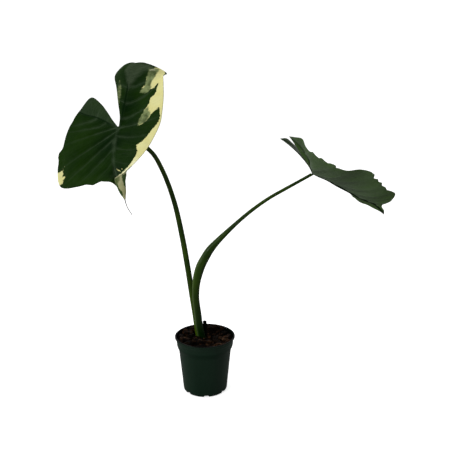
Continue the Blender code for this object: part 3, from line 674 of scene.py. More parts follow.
def sheet(rib_line, rows, gaps, edge, ribs, facing, first_row, side):
    """One smooth sheet of a blade, from a rib out to the margin, as a grid of points and their values."""
    lines = [rib_line] + [smooth_through([row[k] for row in rows], gaps) for k in (0, 1)]
    places = np.array([i + f for i, gap in enumerate(gaps) for f in gap] + [len(gaps)], float)
    across = np.linspace(0, 1, COLUMNS) ** 1.15
    pulls = places * 0
    if edge:
        pulls = np.interp(places, [p for p, _ in edge], [v for _, v in edge], left=0, right=0)
    reach = np.maximum(np.linalg.norm(lines[2] - lines[0], axis=1), 1e-6)
    t = across[None, :] * (1 - (pulls / reach)[:, None] * across[None, :] ** 2)
    parts = ((1 - t) * (1 - 2 * t), 4 * t * (1 - t), t * (2 * t - 1))
    inner, middle, outer = (part[..., None] * line[:, None] for part, line in zip(parts, lines))
    grid = inner + middle + outer
    along = np.gradient(grid, places, axis=0)
    normals = np.cross(along, np.gradient(grid, axis=1))
    normals /= np.maximum(np.linalg.norm(normals, axis=2, keepdims=True), 1e-9)
    normals *= np.sign((normals @ np.array(facing)).sum())
    row_length = np.linalg.norm(along, axis=2)
    width = np.linalg.norm(grid[:, -1] - grid[:, 0], axis=1)
    spread = np.cumsum(np.linalg.norm(np.diff(grid, axis=1, prepend=grid[:, :1]), axis=2), axis=1)
    to_margin = spread[:, -1:] - spread
    share = np.broadcast_to(across, row_length.shape)

    rows_here = np.broadcast_to(places[:, None] + first_row, row_length.shape)
    sweep = np.interp(places + first_row, *zip(*side["sweep"]))[:, None] if first_row == 0 else 0
    swept = rows_here + sweep * (1 - np.exp(-share / side["turn"]))
    veins = np.array([vein for vein in side["veins"] if first_row < vein < first_row + len(gaps)])
    nearest = veins[np.argmin(abs(swept[..., None] - veins), axis=2)]
    away = (swept - nearest) * row_length
    gap = np.diff(veins).mean()
    thin = np.minimum(1, row_length * gap / 9)

    rib_size = np.interp(places, *ribs)[:, None]
    lift = PUFF * thin * np.cos(np.pi * np.clip((swept - nearest) / gap, -0.5, 0.5)) ** 2 * -1
    lift *= np.sin(np.pi * share**0.7) * np.minimum(1, width / 60)[:, None]
    lift -= 0.35 * np.exp(-((away / 1.0) ** 2)) * (1 - share) ** 0.6
    lift += 0.5 * (spread / 2) * np.exp(1 - spread / 2) * rib_size
    raised = RIB_HEIGHT * rib_size * np.exp(-((spread / 2.4) ** 2))
    raised = np.maximum(raised, 0.9 * thin * np.exp(-((away / 1.2) ** 2)) * (1 - share) ** 0.8)
    flat = grid.reshape(-1, 3)
    waves = 0.9 * soft_noise(flat, 26, 3.1) + 0.4 * soft_noise(flat, 9, 8.4)
    lift += waves.reshape(lift.shape) * np.minimum(1, spread / 12) * np.minimum(1, to_margin / 8)
    points = grid + normals * (lift * (1 - np.exp(-((spread / 1.2) ** 2))))[..., None]
    blade = MARGIN_THICKNESS + (BLADE - MARGIN_THICKNESS) * np.minimum(1, to_margin / 4)
    cream = marking(side["cream"], rows_here, share)
    if side["green"]:
        cream = np.maximum(cream, -marking(side["green"], rows_here, share))
    half_tone = marking(side["half_tone"], rows_here, share)
    if first_row:
        half_tone = np.minimum(half_tone, FLAP_TONE_DEPTH)
    return {
        "points": points,
        "thickness_share": (blade + raised) / (BLADE + RIB_HEIGHT),
        "cream": cream,
        "half_tone": half_tone,
        "bloom": marking(side["bloom"], rows_here, share),
        "row": rows_here,
        "swept": swept,
        "away": away,
        "across": share,
        "to_margin": to_margin,
        "to_rib": spread,
        "sheen": np.interp(rows_here, *zip(*side["sheen"])) * (1 - side["sheen_fade"] * share),
    }


def blade_mesh(name, sheets, facing):
    """Joins the sheets to one surface that carries the values its finish is drawn with."""
    points, faces, places, lines = [], [], [], []
    values = {"cream": [], "half_tone": [], "bloom": [], "thickness_share": []}
    for one in sheets:
        count, columns = one["row"].shape
        index = np.arange(count * columns).reshape(count, columns)
        corners = [index[:-1, :-1], index[:-1, 1:], index[1:, 1:], index[1:, :-1]]
        quads = np.stack(corners, axis=2).reshape(-1, 4)
        faces += (quads + len(points)).tolist()
        points += list(one["points"].reshape(-1, 3) * MM)
        for key in values:
            values[key] += list(one[key].ravel())
        swept, across, rib, away, margin, sheen = (
            one[key].ravel()[quads].ravel()
            for key in ("swept", "across", "to_rib", "away", "to_margin", "sheen")
        )
        places.append(np.stack([swept, across, rib], axis=1))
        lines.append(np.stack([abs(away), margin, sheen], axis=1))
    mesh = bpy.data.meshes.new(name)
    mesh.from_pydata(points, [], faces)
    for key, given in values.items():
        carry(mesh, key, given)
    carry(mesh, "leaf_place", np.vstack(places), "FLOAT_VECTOR", "CORNER")
    carry(mesh, "leaf_lines", np.vstack(lines), "FLOAT_VECTOR", "CORNER")
    shape = bmesh.new()
    shape.from_mesh(mesh)
    bmesh.ops.remove_doubles(shape, verts=shape.verts, dist=2 * MERGE)
    bmesh.ops.recalc_face_normals(shape, faces=shape.faces)
    shape.normal_update()
    mean = sum((face.normal * face.calc_area() for face in shape.faces), Vector())
    if mean.dot(Vector(facing)) < 0:
        bmesh.ops.reverse_faces(shape, faces=shape.faces)
    shape.to_mesh(mesh)
    shape.free()
    return mesh


def make_blade(name, midrib, sides, facing, skins, cad_node):
    """A leaf blade: grooved along its ribs above, with the ribs raised on its underside."""
    tip, heart = midrib[0], midrib[-1]
    turn = len(midrib) - 1
    full_rows = [[(tip, tip, 0)] + side["rows"] + [(side["rib"][-1], side["rib"][-1], 0)] for side in sides]
    spans = [max(math.dist(r[i][k], r[i + 1][k]) for r in full_rows for k in (0, 1)) for i in range(turn)]
    veined = [any(r[i][2] > 0 for r in full_rows) for i in range(turn + 1)]
    edges = sorted(sides[0]["edge"] + sides[1]["edge"])
    midrib_gaps = line_fractions(spans, veined, edges, 0)
    sheets = []
    for side, rows in zip(sides, full_rows):
        rib = side["rib"]
        lobe_rows = [(heart, heart)] + side["flap"] + [(rib[-1], rib[-1])]
        spans = []
        for i in range(len(rib)):
            outer = max(math.dist(rows[turn + i][k], rows[turn + i + 1][k]) for k in (0, 1))
            spans.append(max(outer, math.dist(lobe_rows[i][1], lobe_rows[i + 1][1])))
        lobe_gaps = line_fractions(spans, [row[2] > 0 for row in rows[turn:]], side["edge"], turn)
        rib_line = smooth_through([heart] + rib, lobe_gaps)
        whole_line = np.vstack([smooth_through(midrib, midrib_gaps)[:-1], rib_line])
        ribs = ([0, turn * 0.7, turn, turn + len(rib)], RIB_SHARES)
        sheets.append(sheet(whole_line, rows, midrib_gaps + lobe_gaps, side["edge"], ribs, facing, 0, side))
        ribs = ([0, len(rib)], RIB_SHARES[2:])
        flap = {**side, "cream": [], "green": []}
        flap |= {key: side["flap_" + key] for key in ("half_tone", "bloom", "sheen")}
        sheets.append(sheet(rib_line, lobe_rows, lobe_gaps, [], ribs, facing, turn, flap))
    made = place(name, blade_mesh(name, sheets, facing))
    group = made.vertex_groups.new(name="thickness")
    share = np.zeros(len(made.data.vertices), np.float32)
    made.data.attributes["thickness_share"].data.foreach_get("value", share)
    for i, value in enumerate(share):
        group.add([i], float(value), "REPLACE")
    for skin in skins:
        made.data.materials.append(skin)
    solid = made.modifiers.new("thickness", "SOLIDIFY")
    solid.thickness = (BLADE + RIB_HEIGHT) * MM
    solid.offset = -1
    solid.vertex_group = "thickness"
    solid.material_offset = 1
    solid.material_offset_rim = 1
    made = frozen(made)
    keep_inside(made, cad_node)
    return made


def keep_inside(piece, *nodes):
    """Holds a piece's outermost points to the box of the CAD nodes that it stands for."""
    boxes = [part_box(cad_node) for cad_node in nodes]
    low = np.min([low for low, _ in boxes], axis=0)
    high = np.max([high for _, high in boxes], axis=0)
    spots = np.zeros(len(piece.data.vertices) * 3, np.float32)
    piece.data.vertices.foreach_get("co", spots)
    piece.data.vertices.foreach_set("co", np.clip(spots.reshape(-1, 3), low, high).ravel())
    piece.data.update()


def marking(outlines, row, share):
    """How far inside the nearest outline each point lies, in mm, below zero outside them all."""
    spots = np.stack([row * ROW_STEP, share * REACH], axis=-1)
    best = np.full(row.shape, -40.0)
    for outline in outlines:
        corners = np.array(outline) * (ROW_STEP, REACH)
        least = np.full(row.shape, 40.0)
        inside = np.zeros(row.shape, bool)
        for start, end in zip(corners, np.roll(corners, -1, axis=0)):
            way = end - start
            along = np.clip(((spots - start) @ way) / (way @ way), 0, 1)
            least = np.minimum(least, np.linalg.norm(spots - start - along[..., None] * way, axis=-1))
            crosses = (start[1] > spots[..., 1]) != (end[1] > spots[..., 1])
            rise = way[1] if abs(way[1]) > 1e-9 else 1e-9
            inside ^= crosses & (spots[..., 0] < start[0] + way[0] * (spots[..., 1] - start[1]) / rise)
        best = np.maximum(best, np.where(inside, least, -least))
    return best


def trim(piece, point, normal):
    """Cuts `piece` flat at a plane, dropping the side that `normal` points to."""
    shape = bmesh.new()
    shape.from_mesh(piece.data)
    made = bmesh.ops.bisect_plane(
        shape,
        geom=shape.verts[:] + shape.edges[:] + shape.faces[:],
        plane_co=Vector(point) * MM,
        plane_no=Vector(normal),
        clear_outer=True,
        dist=1e-7,
    )
    rim = [part for part in made["geom_cut"] if isinstance(part, bmesh.types.BMEdge)]
    bmesh.ops.contextual_create(shape, geom=rim)
    bmesh.ops.recalc_face_normals(shape, faces=shape.faces)
    shape.to_mesh(piece.data)
    shape.free()


def stem_tree():
    """Geometry nodes: a ribbed stem along a curve, whose points' radii set how thick it is."""
    tree, given, out = new_group(
        "stem",
        "GeometryNodeTree",
        [
            ("Path", "Geometry", None),
            ("Sides", "Int", 40),
            ("Ribs", "Float", 9.0),
            ("Rib depth", "Float", 0.00012),
            ("Skin", "Material", None),
        ],
        [("Stem", "Geometry")],
    )
    length = node(tree, "GeometryNodeSplineParameter").outputs["Length"]
    path = node(tree, "GeometryNodeCaptureAttribute", {"Geometry": given["Path"]}, domain="POINT")
    path.capture_items.new("FLOAT", "along")
    tree.links.new(length, path.inputs["along"])
    circle = {"Resolution": given["Sides"], "Radius": 1.0}
    circle = node(tree, "GeometryNodeCurvePrimitiveCircle", circle).outputs["Curve"]
    ring = node(tree, "GeometryNodeCaptureAttribute", {"Geometry": circle}, domain="POINT")
    ring.capture_items.new("VECTOR", "around")
    tree.links.new(node(tree, "GeometryNodeInputPosition").outputs[0], ring.inputs["around"])
    thick = node(tree, "GeometryNodeInputRadius").outputs[0]
    tube = node(
        tree,
        "GeometryNodeCurveToMesh",
        {"Curve": path.outputs["Geometry"], "Profile Curve": ring.outputs["Geometry"], "Fill Caps": True},
    )
    if "Scale" in tube.inputs:
        tree.links.new(thick, tube.inputs["Scale"])
    around = axes(tree, ring.outputs["around"])
    grain = {0: around[0], 1: around[1], 2: path.outputs["along"]}
    grain = node(tree, "ShaderNodeCombineXYZ", grain).outputs[0]
    kept = node(
        tree,
        "GeometryNodeStoreNamedAttribute",
        {"Geometry": tube.outputs[0], "Name": "grain", "Value": grain},
        data_type="FLOAT_VECTOR",
        domain="POINT",
    )
    angle = maths(tree, "ARCTAN2", around[1], around[0])
    wave = maths(tree, "SINE", times(tree, angle, given["Ribs"]))
    uneven = plain_noise(tree, grain, 2.2, 2.0)
    depth = times(tree, wave, uneven, given["Rib depth"])
    normal = node(tree, "GeometryNodeInputNormal").outputs[0]
    offset = node(tree, "ShaderNodeVectorMath", {0: normal, "Scale": depth}, operation="SCALE").outputs[0]
    shaped = node(tree, "GeometryNodeSetPosition", {"Geometry": kept.outputs[0], "Offset": offset})
    end_tree(tree, shaped.outputs[0], given["Skin"], out["Stem"])
    return tree


def make_stem(name, stations, tree, pitch, values):
    """A stem that the geometry node tree grows along its stations."""
    line = stem_line(stations, pitch)
    curve = bpy.data.curves.new(name, "CURVE")
    curve.dimensions = "3D"
    spline = curve.splines.new("POLY")
    spline.points.add(len(line) - 1)
    for point, (x, y, z, radius) in zip(spline.points, line):
        point.co = (x * MM, y * MM, z * MM, 1)
        point.radius = radius * MM
    return grown(place(name, curve), tree, values)


def sheath_window(centre, tangent, radius, groove):
    """The two directions across a ring, and how the clasped petiole's channel opens it, if it does.

    The opening is its middle and half its width, in radians, and the channel's distance and radius.
    """
    back = np.array([0, 1, 0]) - tangent * tangent[1]
    back /= np.linalg.norm(back)
    side = np.cross(tangent, back)
    ahead = (groove[:, :3] - centre) @ tangent
    crossing = np.nonzero(np.diff(np.sign(ahead)))[0]
    if not len(crossing):
        return side, back, None
    i = crossing[0]
    share = ahead[i] / (ahead[i] - ahead[i + 1])
    spot = groove[i] + (groove[i + 1] - groove[i]) * share
    offset = spot[:3] - centre
    middle = math.atan2(offset @ back, offset @ side)
    away = np.linalg.norm(offset)
    opening = (radius**2 + away**2 - spot[3] ** 2) / (2 * radius * away)
    if away <= spot[3] or opening >= 0.999:
        return side, back, None
    return side, back, (middle, math.acos(opening), away, spot[3])


def sheathed_petiole(name, stations, channel, skin):
    """The right petiole: a tube whose open sheath clasps the left petiole's base."""
    line = stem_line(stations, 2.5)
    groove = stem_line(channel, 1.5)
    outer, inner = 40, 20
    centres = line[:, :3]
    tangents = np.gradient(centres, axis=0)
    tangents /= np.linalg.norm(tangents, axis=1, keepdims=True)
    length = np.concatenate([[0], np.cumsum(np.linalg.norm(np.diff(centres, axis=0), axis=1))])
    windows = [sheath_window(*ring, groove) for ring in zip(centres, tangents, line[:, 3])]
    first = next(i for i, (_, _, found) in enumerate(windows) if found)
    last = max(i for i, (_, _, found) in enumerate(windows) if found)
    points, grain, sheath = [], [], []
    for i, (centre, radius, (side, back, found)) in enumerate(zip(centres, line[:, 3], windows)):
        known = found or windows[first if i < first else last][2]
        middle, half = known[0], max(SHEATH_OPENING, known[1] if found else SHEATH_OPENING)
        outside = np.linspace(middle + half, middle - half + math.tau, outer, endpoint=False)
        inside = np.linspace(middle - half, middle + half, inner, endpoint=False)
        angles = np.concatenate([outside, inside])
        reach = np.full(len(angles), radius)
        if found:
            near = np.cos(angles[outer:] - middle) * found[2]
            room = near**2 - found[2] ** 2 + found[3] ** 2
            wall = np.minimum(radius, near - np.sqrt(np.maximum(room, 0)))
            reach[outer:] = np.where(room > 0, wall, radius)
        to_edge = np.minimum(abs(angles - middle - half), abs(angles - math.tau - middle + half)) * radius
        for j, (angle, far) in enumerate(zip(angles, reach)):
            ribbing = 0.1 * math.sin(angle * 11) * (j < outer)
            spot = centre + (side * math.cos(angle) + back * math.sin(angle)) * (far + ribbing)
            points.append(spot * MM)
            grain.append((math.cos(angle), math.sin(angle), length[i] * MM))
            pale = math.exp(-((to_edge[j] / 2.6) ** 2)) if j < outer else 1.0
            # Painted highlight: a pale streak down the petiole's front-left, fading out above 255 mm; the
            # sheath value keeps the larger of it and the sheath's pale margin
            off_highlight = math.remainder(angle + 0.6, math.tau) * radius
            streak = 0.5 * math.exp(-((off_highlight / 2.3) ** 2)) * min(1, max(0, (255 - centre[2]) / 25))
            sheath.append(max(pale if found else 0.0, streak))
    ring = outer + inner
    faces = [tuple(range(ring)), tuple(range(len(points) - ring, len(points)))]
    for i in range(len(line) - 1):
        for j in range(ring):
            k = (j + 1) % ring
            faces.append((i * ring + j, i * ring + k, (i + 1) * ring + k, (i + 1) * ring + j))
    mesh = bpy.data.meshes.new(name)
    mesh.from_pydata(points, [], faces)
    carry(mesh, "grain", grain, "FLOAT_VECTOR")
    carry(mesh, "sheath", sheath)
    mesh.materials.append(skin)
    faces_out(mesh)
    return place(name, mesh)


def turned(name, profile, steps):
    """A solid of revolution: `profile` is (radius, height) from the top, down the outer side."""
    mesh = bpy.data.meshes.new(name)
    points = [(radius * MM, 0, height * MM) for radius, height in profile]
    mesh.from_pydata(points, [(i, i + 1) for i in range(len(points) - 1)], [])
    made = place(name, mesh)
    screw = made.modifiers.new("turn", "SCREW")
    screw.steps = screw.render_steps = steps
    screw.use_merge_vertices = True
    screw.merge_threshold = MERGE
    made = frozen(made)
    faces_out(made.data, MERGE)
    return made


def arc(centre, radius, start, end, count):
    """Points on an arc of a turned profile, from `start` to `end` degrees."""
    turns = [math.radians(start + (end - start) * i / count) for i in range(count + 1)]
    return [(centre[0] + radius * math.cos(a), centre[1] + radius * math.sin(a)) for a in turns]


def pot_inside():
    """The inner wall from the floor up, as (radius, height)."""
    return [
        (BODY_FOOT_RADIUS - WALL - 2, WALL),
        (BODY_FOOT_RADIUS - WALL - 0.6, WALL + 0.6),
        (BODY_FOOT_RADIUS - WALL, WALL + 2),
        (BODY_TOP_RADIUS - WALL, BODY_TOP),
        (BAND_FOOT_RADIUS - WALL, BAND_FOOT + 1),
        (BAND_TOP_RADIUS - WALL, POT_HEIGHT - LIP_HEIGHT),
    ]


def make_pot(skin):
    """The pot, turned in one piece and cut through for its drain holes."""
    profile = [(0, WALL)] + pot_inside()
    profile += [(RIM_RADIUS - 2.6, POT_HEIGHT - 0.5)]
    profile += arc((RIM_RADIUS - 2.2, POT_HEIGHT - 0.4), 0.4, 180, 90, 3)
    profile += arc((RIM_RADIUS - 0.9, POT_HEIGHT - 0.9), 0.9, 90, 0, 6)
    profile += arc((RIM_RADIUS - 0.5, POT_HEIGHT - LIP_HEIGHT + 0.5), 0.5, 0, -90, 4)
    profile += [
        (BAND_TOP_RADIUS + 0.3, POT_HEIGHT - LIP_HEIGHT),
        (BAND_TOP_RADIUS, POT_HEIGHT - LIP_HEIGHT - 0.3),
    ]
    band_slope = (BAND_TOP_RADIUS - BAND_FOOT_RADIUS) / (POT_HEIGHT - LIP_HEIGHT - BAND_FOOT)
    for i in range(11):
        height = BEAD_HEIGHT + 2 - 0.4 * i
        bead = 0.4 * math.exp(-(((height - BEAD_HEIGHT) / 0.9) ** 2))
        profile.append((BAND_FOOT_RADIUS + band_slope * (height - BAND_FOOT) + bead, height))
    body_slope = (BODY_TOP_RADIUS - BODY_FOOT_RADIUS) / (BODY_TOP - FOOT_ROUND)
    for i in range(17):
        fall = 3 * (i / 16) ** 2 - 2 * (i / 16) ** 3
        height = BAND_FOOT + 5 - 11 * i / 16
        band = BAND_FOOT_RADIUS + band_slope * (height - BAND_FOOT)
        body = BODY_TOP_RADIUS + body_slope * (height - BODY_TOP)
        profile.append((band + (body - band) * fall, height))
    start = BODY_TOP - 3
    for i in range(1, 12):
        height = start + (FOOT_ROUND - start) * i / 12
        profile.append((BODY_FOOT_RADIUS + body_slope * (height - FOOT_ROUND), height))
    profile += arc((BODY_FOOT_RADIUS - FOOT_ROUND, FOOT_ROUND), FOOT_ROUND, 0, -90, 6)
    profile += [(0, 0)]
    pot = turned("nursery_pot", profile, POT_STEPS)
    cutters = bpy.data.collections.new("drain_cutters")
    for index in range(DRAINS):
        cutters.objects.link(drain_cutter(index))
    cut = pot.modifiers.new("drains", "BOOLEAN")
    cut.operation = "DIFFERENCE"
    cut.operand_type = "COLLECTION"
    cut.collection = cutters
    cut.solver = "EXACT"
    pot = frozen(pot)
    for cutter in list(cutters.objects):
        bpy.data.objects.remove(cutter)
    bpy.data.collections.remove(cutters)
    pot.data.materials.clear()
    pot.data.materials.append(skin)
    pot.data.shade_smooth()
    pot.data.set_sharp_from_angle(angle=math.radians(35))
    return pot


def drain_cutter(index):
    """A low arch that passes out through the pot's bottom edge."""
    shape = bmesh.new()
    radius = DRAIN_WIDTH / 2
    bmesh.ops.create_cone(
        shape, cap_ends=True, segments=32, radius1=radius, radius2=radius, depth=DRAIN_REACH
    )
    turn = Matrix.Rotation(DRAIN_TURN + math.tau * index / DRAINS, 4, "Z")
    out = Matrix.Translation((0, -BODY_FOOT_RADIUS + DRAIN_REACH / 4, 0))
    flatten = Matrix.Diagonal((1, 1, 2 * DRAIN_HEIGHT / DRAIN_WIDTH, 1))
    lay = Matrix.Rotation(math.pi / 2, 4, "X")
    bmesh.ops.transform(shape, matrix=Matrix.Scale(MM, 4) @ turn @ out @ flatten @ lay, verts=shape.verts)
    mesh = bpy.data.meshes.new(f"drain_cutter_{index}")
    shape.to_mesh(mesh)
    shape.free()
    return bpy.data.objects.new(mesh.name, mesh)


def mix_height(x, y):
    """Height of the potting mix's lumpy top at a place."""
    lump = MIX_LUMP * noise.fractal(Vector((x / 11, y / 11, 0.6)), 1.0, 2.0, 3)
    off_stem = math.dist((x, y), MOUND_MIDDLE)
    mound = 7.5 * math.exp(-((off_stem / 15) ** 2))
    hollow = 9.0 * math.exp(-((math.dist((x, y), MIX_HOLLOW) / 8.5) ** 2))
    bank = 1.5 * min(1, max(0, (y - 15) / 20))
    return MIX_LEVEL + lump + mound - hollow + bank


def make_mix(skin):
    """The body of the potting mix, with a crumbly top."""
    sides = [(radius - GAP, height) for radius, height in reversed(pot_inside())]
    profile = [(MIX_EDGE * i / MIX_RINGS, MIX_LEVEL) for i in range(MIX_RINGS + 1)]
    profile += sides[1:-1] + [(sides[-1][0], WALL + GAP), (0, WALL + GAP)]
    mix = turned("mix_body", profile, MIX_STEPS)
    for vert in mix.data.vertices:
        x, y, z = vert.co / MM
        if z > MIX_LEVEL - 1 and math.hypot(x, y) < MIX_EDGE - 0.3:
            coarse = noise.voronoi(Vector((x, y, 4)) / 3.2)[0][0]
            fine = noise.voronoi(Vector((x, y, 9)) / 1.7)[0][0]
            vert.co.z = (mix_height(x, y) + 0.5 - 1.8 * (coarse + 0.6 * fine)) * MM
    mix.data.materials.append(skin)
    return mix


def bark_shape(draw, size, cuts):
    """A rough slab of bark with grain ridges along its length, as a bmesh."""
    noise.seed_set(BARK_SEED)
    shape = bmesh.new()
    bmesh.ops.create_cube(shape, size=1)
    bmesh.ops.subdivide_edges(shape, edges=shape.edges, cuts=cuts, use_grid_fill=True)
    away = Vector([draw.uniform(0, 50) for _ in range(3)])
    for vert in shape.verts:
        x, y, z = vert.co
        rounded = vert.co.normalized() * 0.56
        vert.co = vert.co.lerp(rounded, 0.35)
        rough = noise.noise_vector(Vector((x, y, z)) * 2.4 + away) * 0.16
        ridges = noise.noise(Vector((x * 0.8, y * 7, z * 7)) + away) * 0.12
        vert.co += rough + Vector((0, 0, ridges))
    bmesh.ops.transform(shape, matrix=Matrix.Diagonal((*size, 1)), verts=shape.verts)
    return shape


def make_bark(skin):
    """The larger pieces of bark, laid one by one, as one mesh; each has its own shade."""
    draw = random.Random(BARK_SEED)
    whole = bmesh.new()
    tone = whole.verts.layers.float.new("tone")
    for x, y, length, width, thickness, spin, lean, shade in BARK_PIECES:
        chip = bark_shape(draw, (length, width, thickness), 6)
        turn = Matrix.Rotation(math.radians(spin), 4, "Z") @ Matrix.Rotation(math.radians(lean), 4, "X")
        tip = Matrix.Rotation(draw.uniform(-0.2, 0.2), 4, "Y")
        at = Matrix.Translation((x, y, mix_height(x, y) + thickness * 0.15))
        bmesh.ops.transform(chip, matrix=at @ turn @ tip, verts=chip.verts)
        for vert in chip.verts:
            vert.co.xy *= min(1, BARK_REACH / max(vert.co.xy.length, 1))
        bmesh.ops.scale(chip, vec=(MM, MM, MM), verts=chip.verts)
        mesh = bpy.data.meshes.new("chip")
        chip.to_mesh(mesh)
        chip.free()
        before = len(whole.verts)
        whole.from_mesh(mesh)
        bpy.data.meshes.remove(mesh)
        whole.verts.ensure_lookup_table()
        for vert in whole.verts[before:]:
            # The piece's own shade, partly painted light: pieces that catch the light were given paler
            # shades
            vert[tone] = shade
    mesh = bpy.data.meshes.new("bark_pieces")
    whole.to_mesh(mesh)
    whole.free()
    mesh.materials.append(skin)
    return place("bark_pieces", mesh)


def litter_tree():
    """Geometry nodes: chips scattered over a surface, each turned, sized and shaded at random."""
    tree, given, out = new_group(
        "litter",
        "GeometryNodeTree",
        [
            ("Ground", "Geometry", None),
            ("Chip", "Object", None),
            ("Least distance", "Float", 0.0035),
            ("Density", "Float", 60000.0),
            ("Smallest", "Float", 0.6),
            ("Largest", "Float", 1.5),
            ("Tumble", "Float", 0.5),
            ("Seed", "Int", 1),
            ("Skin", "Material", None),
        ],
        [("Litter", "Geometry")],
    )
    spots = node(
        tree,
        "GeometryNodeDistributePointsOnFaces",
        {
            "Mesh": given["Ground"],
            "Distance Min": given["Least distance"],
            "Density Max": given["Density"],
            "Seed": given["Seed"],
        },
        distribute_method="POISSON",
    )
    seed = given["Seed"]
    tone = node(tree, "FunctionNodeRandomValue", {"Seed": seed}, data_type="FLOAT").outputs[1]
    shaded = node(
        tree,
        "GeometryNodeStoreNamedAttribute",
        {"Geometry": spots.outputs["Points"], "Name": "tone", "Value": tone},
        data_type="FLOAT",
        domain="POINT",
    )
    lean = {0: given["Tumble"], 1: given["Tumble"], 2: math.pi}
    lean = node(tree, "ShaderNodeCombineXYZ", lean).outputs[0]
    back = node(tree, "ShaderNodeVectorMath", {0: lean, "Scale": -1.0}, operation="SCALE").outputs[0]
    turn = {0: back, 1: lean, "Seed": seed}
    turn = node(tree, "FunctionNodeRandomValue", turn, data_type="FLOAT_VECTOR").outputs[0]
    size = {2: given["Smallest"], 3: given["Largest"], "Seed": seed}
    size = node(tree, "FunctionNodeRandomValue", size, data_type="FLOAT").outputs[1]
    chip = node(tree, "GeometryNodeObjectInfo", {"Object": given["Chip"]}).outputs["Geometry"]
    laid = {"Points": shaded.outputs[0], "Instance": chip, "Rotation": turn, "Scale": size}
    laid = node(tree, "GeometryNodeInstanceOnPoints", laid)
    end_tree(tree, laid.outputs[0], given["Skin"], out["Litter"])
    return tree


def make_litter(name, tree, size, values):
    """Small chips over the mix, but not on the stems, in the hollow or against the pot's wall."""
    draw = random.Random(values["Seed"])
    chip_mesh = bpy.data.meshes.new("litter_chip")
    shape = bark_shape(draw, [s * MM for s in size], 1)
    shape.to_mesh(chip_mesh)
    shape.free()
    chip = place("litter_chip", chip_mesh)
    ground = bmesh.new()
    bmesh.ops.create_grid(ground, x_segments=60, y_segments=60, size=MIX_EDGE)
    for vert in ground.verts:
        vert.co.z = mix_height(vert.co.x, vert.co.y) - 0.4
    bare = [
        face
        for face in ground.faces
        if face.calc_center_median().xy.length > MIX_EDGE - 2.5
        or any(math.dist(face.calc_center_median().xy, (x, y)) < room for x, y, room in LITTER_FREE)
    ]
    bmesh.ops.delete(ground, geom=bare, context="FACES")
    bmesh.ops.scale(ground, vec=(MM, MM, MM), verts=ground.verts)
    mesh = bpy.data.meshes.new(name)
    ground.to_mesh(mesh)
    ground.free()
    made = grown(place(name, mesh), tree, {**values, "Chip": chip})
    bpy.data.objects.remove(chip)
    for vert in made.data.vertices:
        vert.co.xy *= min(1, BARK_REACH * MM / max(vert.co.xy.length, MM))
    return made


# Shared finish groups
def mottle_group():
    """Soft uneven patches: noise mapped to 0..1 between two levels."""
    tree, given, out = new_group(
        "mottle",
        "ShaderNodeTree",
        [
            ("Vector", "Vector", None),
            ("Scale", "Float", 40.0),
            ("Detail", "Float", 3.0),
            ("Low", "Float", 0.35),
            ("High", "Float", 0.65),
        ],
        [("Value", "Float")],
    )
    grain = plain_noise(tree, given["Vector"], given["Scale"], given["Detail"])
    tree.links.new(ramp(tree, grain, given["Low"], given["High"], shape="SMOOTHSTEP"), out["Value"])
    return tree


def line_group():
    """A soft line: 1 where a distance is within the half-width, fading out over the feather."""
    tree, given, out = new_group(
        "soft_line",
        "ShaderNodeTree",
        [("Distance", "Float", 0.0), ("Half width", "Float", 0.5), ("Feather", "Float", 0.5)],
        [("Mask", "Float")],
    )
    far = maths(tree, "ADD", given["Half width"], given["Feather"])
    away = maths(tree, "ABSOLUTE", given["Distance"])
    tree.links.new(ramp(tree, away, given["Half width"], far, 1.0, 0.0, "SMOOTHSTEP"), out["Mask"])
    return tree


def variegation_group():
    """A marking: a signed distance in mm, its edge broken up by streaks that follow the veins."""
    tree, given, out = new_group(
        "variegation",
        "ShaderNodeTree",
        [
            ("Inside", "Float", 0.0),
            ("Leaf place", "Vector", None),
            ("Streaks", "Float", 3.0),
            ("Ragged", "Float", 2.0),
            ("Soft edge", "Float", 0.4),
        ],
        [("Mask", "Float")],
    )
    streak = plain_noise(tree, stretched(tree, given["Leaf place"], (4.0, 1.6, 0.0)), 1.6, 2.0)
    rag = plain_noise(tree, node(tree, "ShaderNodeTexCoord").outputs["Object"], 220.0, 3.0)
    streak = times(tree, maths(tree, "SUBTRACT", streak, 0.5), given["Streaks"])
    rag = times(tree, maths(tree, "SUBTRACT", rag, 0.5), given["Ragged"])
    value = maths(tree, "ADD", maths(tree, "ADD", given["Inside"], streak), rag)
    low = times(tree, given["Soft edge"], -1.0)
    tree.links.new(ramp(tree, value, low, given["Soft edge"]), out["Mask"])
    return tree


MOTTLE = mottle_group()
SOFT_LINE = line_group()
VARIEGATION = variegation_group()


def mottle(tree, vector, scale, detail=3.0, low=0.3, high=0.7):
    """Soft patches of about 1 / `scale` metres, from 0 to 1."""
    given = {"Vector": vector, "Scale": scale, "Detail": detail, "Low": low, "High": high}
    return node(tree, "ShaderNodeGroup", node_tree=MOTTLE, inputs=given).outputs[0]


def soft_line(tree, distance, half_width, feather):
    """The mask of a soft line along which `distance` is 0."""
    given = {"Distance": distance, "Half width": half_width, "Feather": feather}
    return node(tree, "ShaderNodeGroup", node_tree=SOFT_LINE, inputs=given).outputs[0]


def marked(tree, key, leaf_place, streaks, ragged, soft_edge):
    """The mask of a marking that a blade carries as an attribute."""
    given = {"Inside": attribute(tree, key), "Leaf place": leaf_place}
    given |= {"Streaks": streaks, "Ragged": ragged, "Soft edge": soft_edge}
    return node(tree, "ShaderNodeGroup", node_tree=VARIEGATION, inputs=given).outputs[0]


def new_finish(name, roughness, specular):
    """A material with its Principled BSDF, ready for its colour and bump."""
    made = bpy.data.materials.new(name)
    made.use_nodes = True
    tree = made.node_tree
    shader = tree.nodes["Principled BSDF"]
    shader.inputs["Specular IOR Level"].default_value = specular
    shader.inputs["Roughness"].default_value = roughness
    spot = node(tree, "ShaderNodeTexCoord").outputs["Object"]
    return made, tree, shader, spot


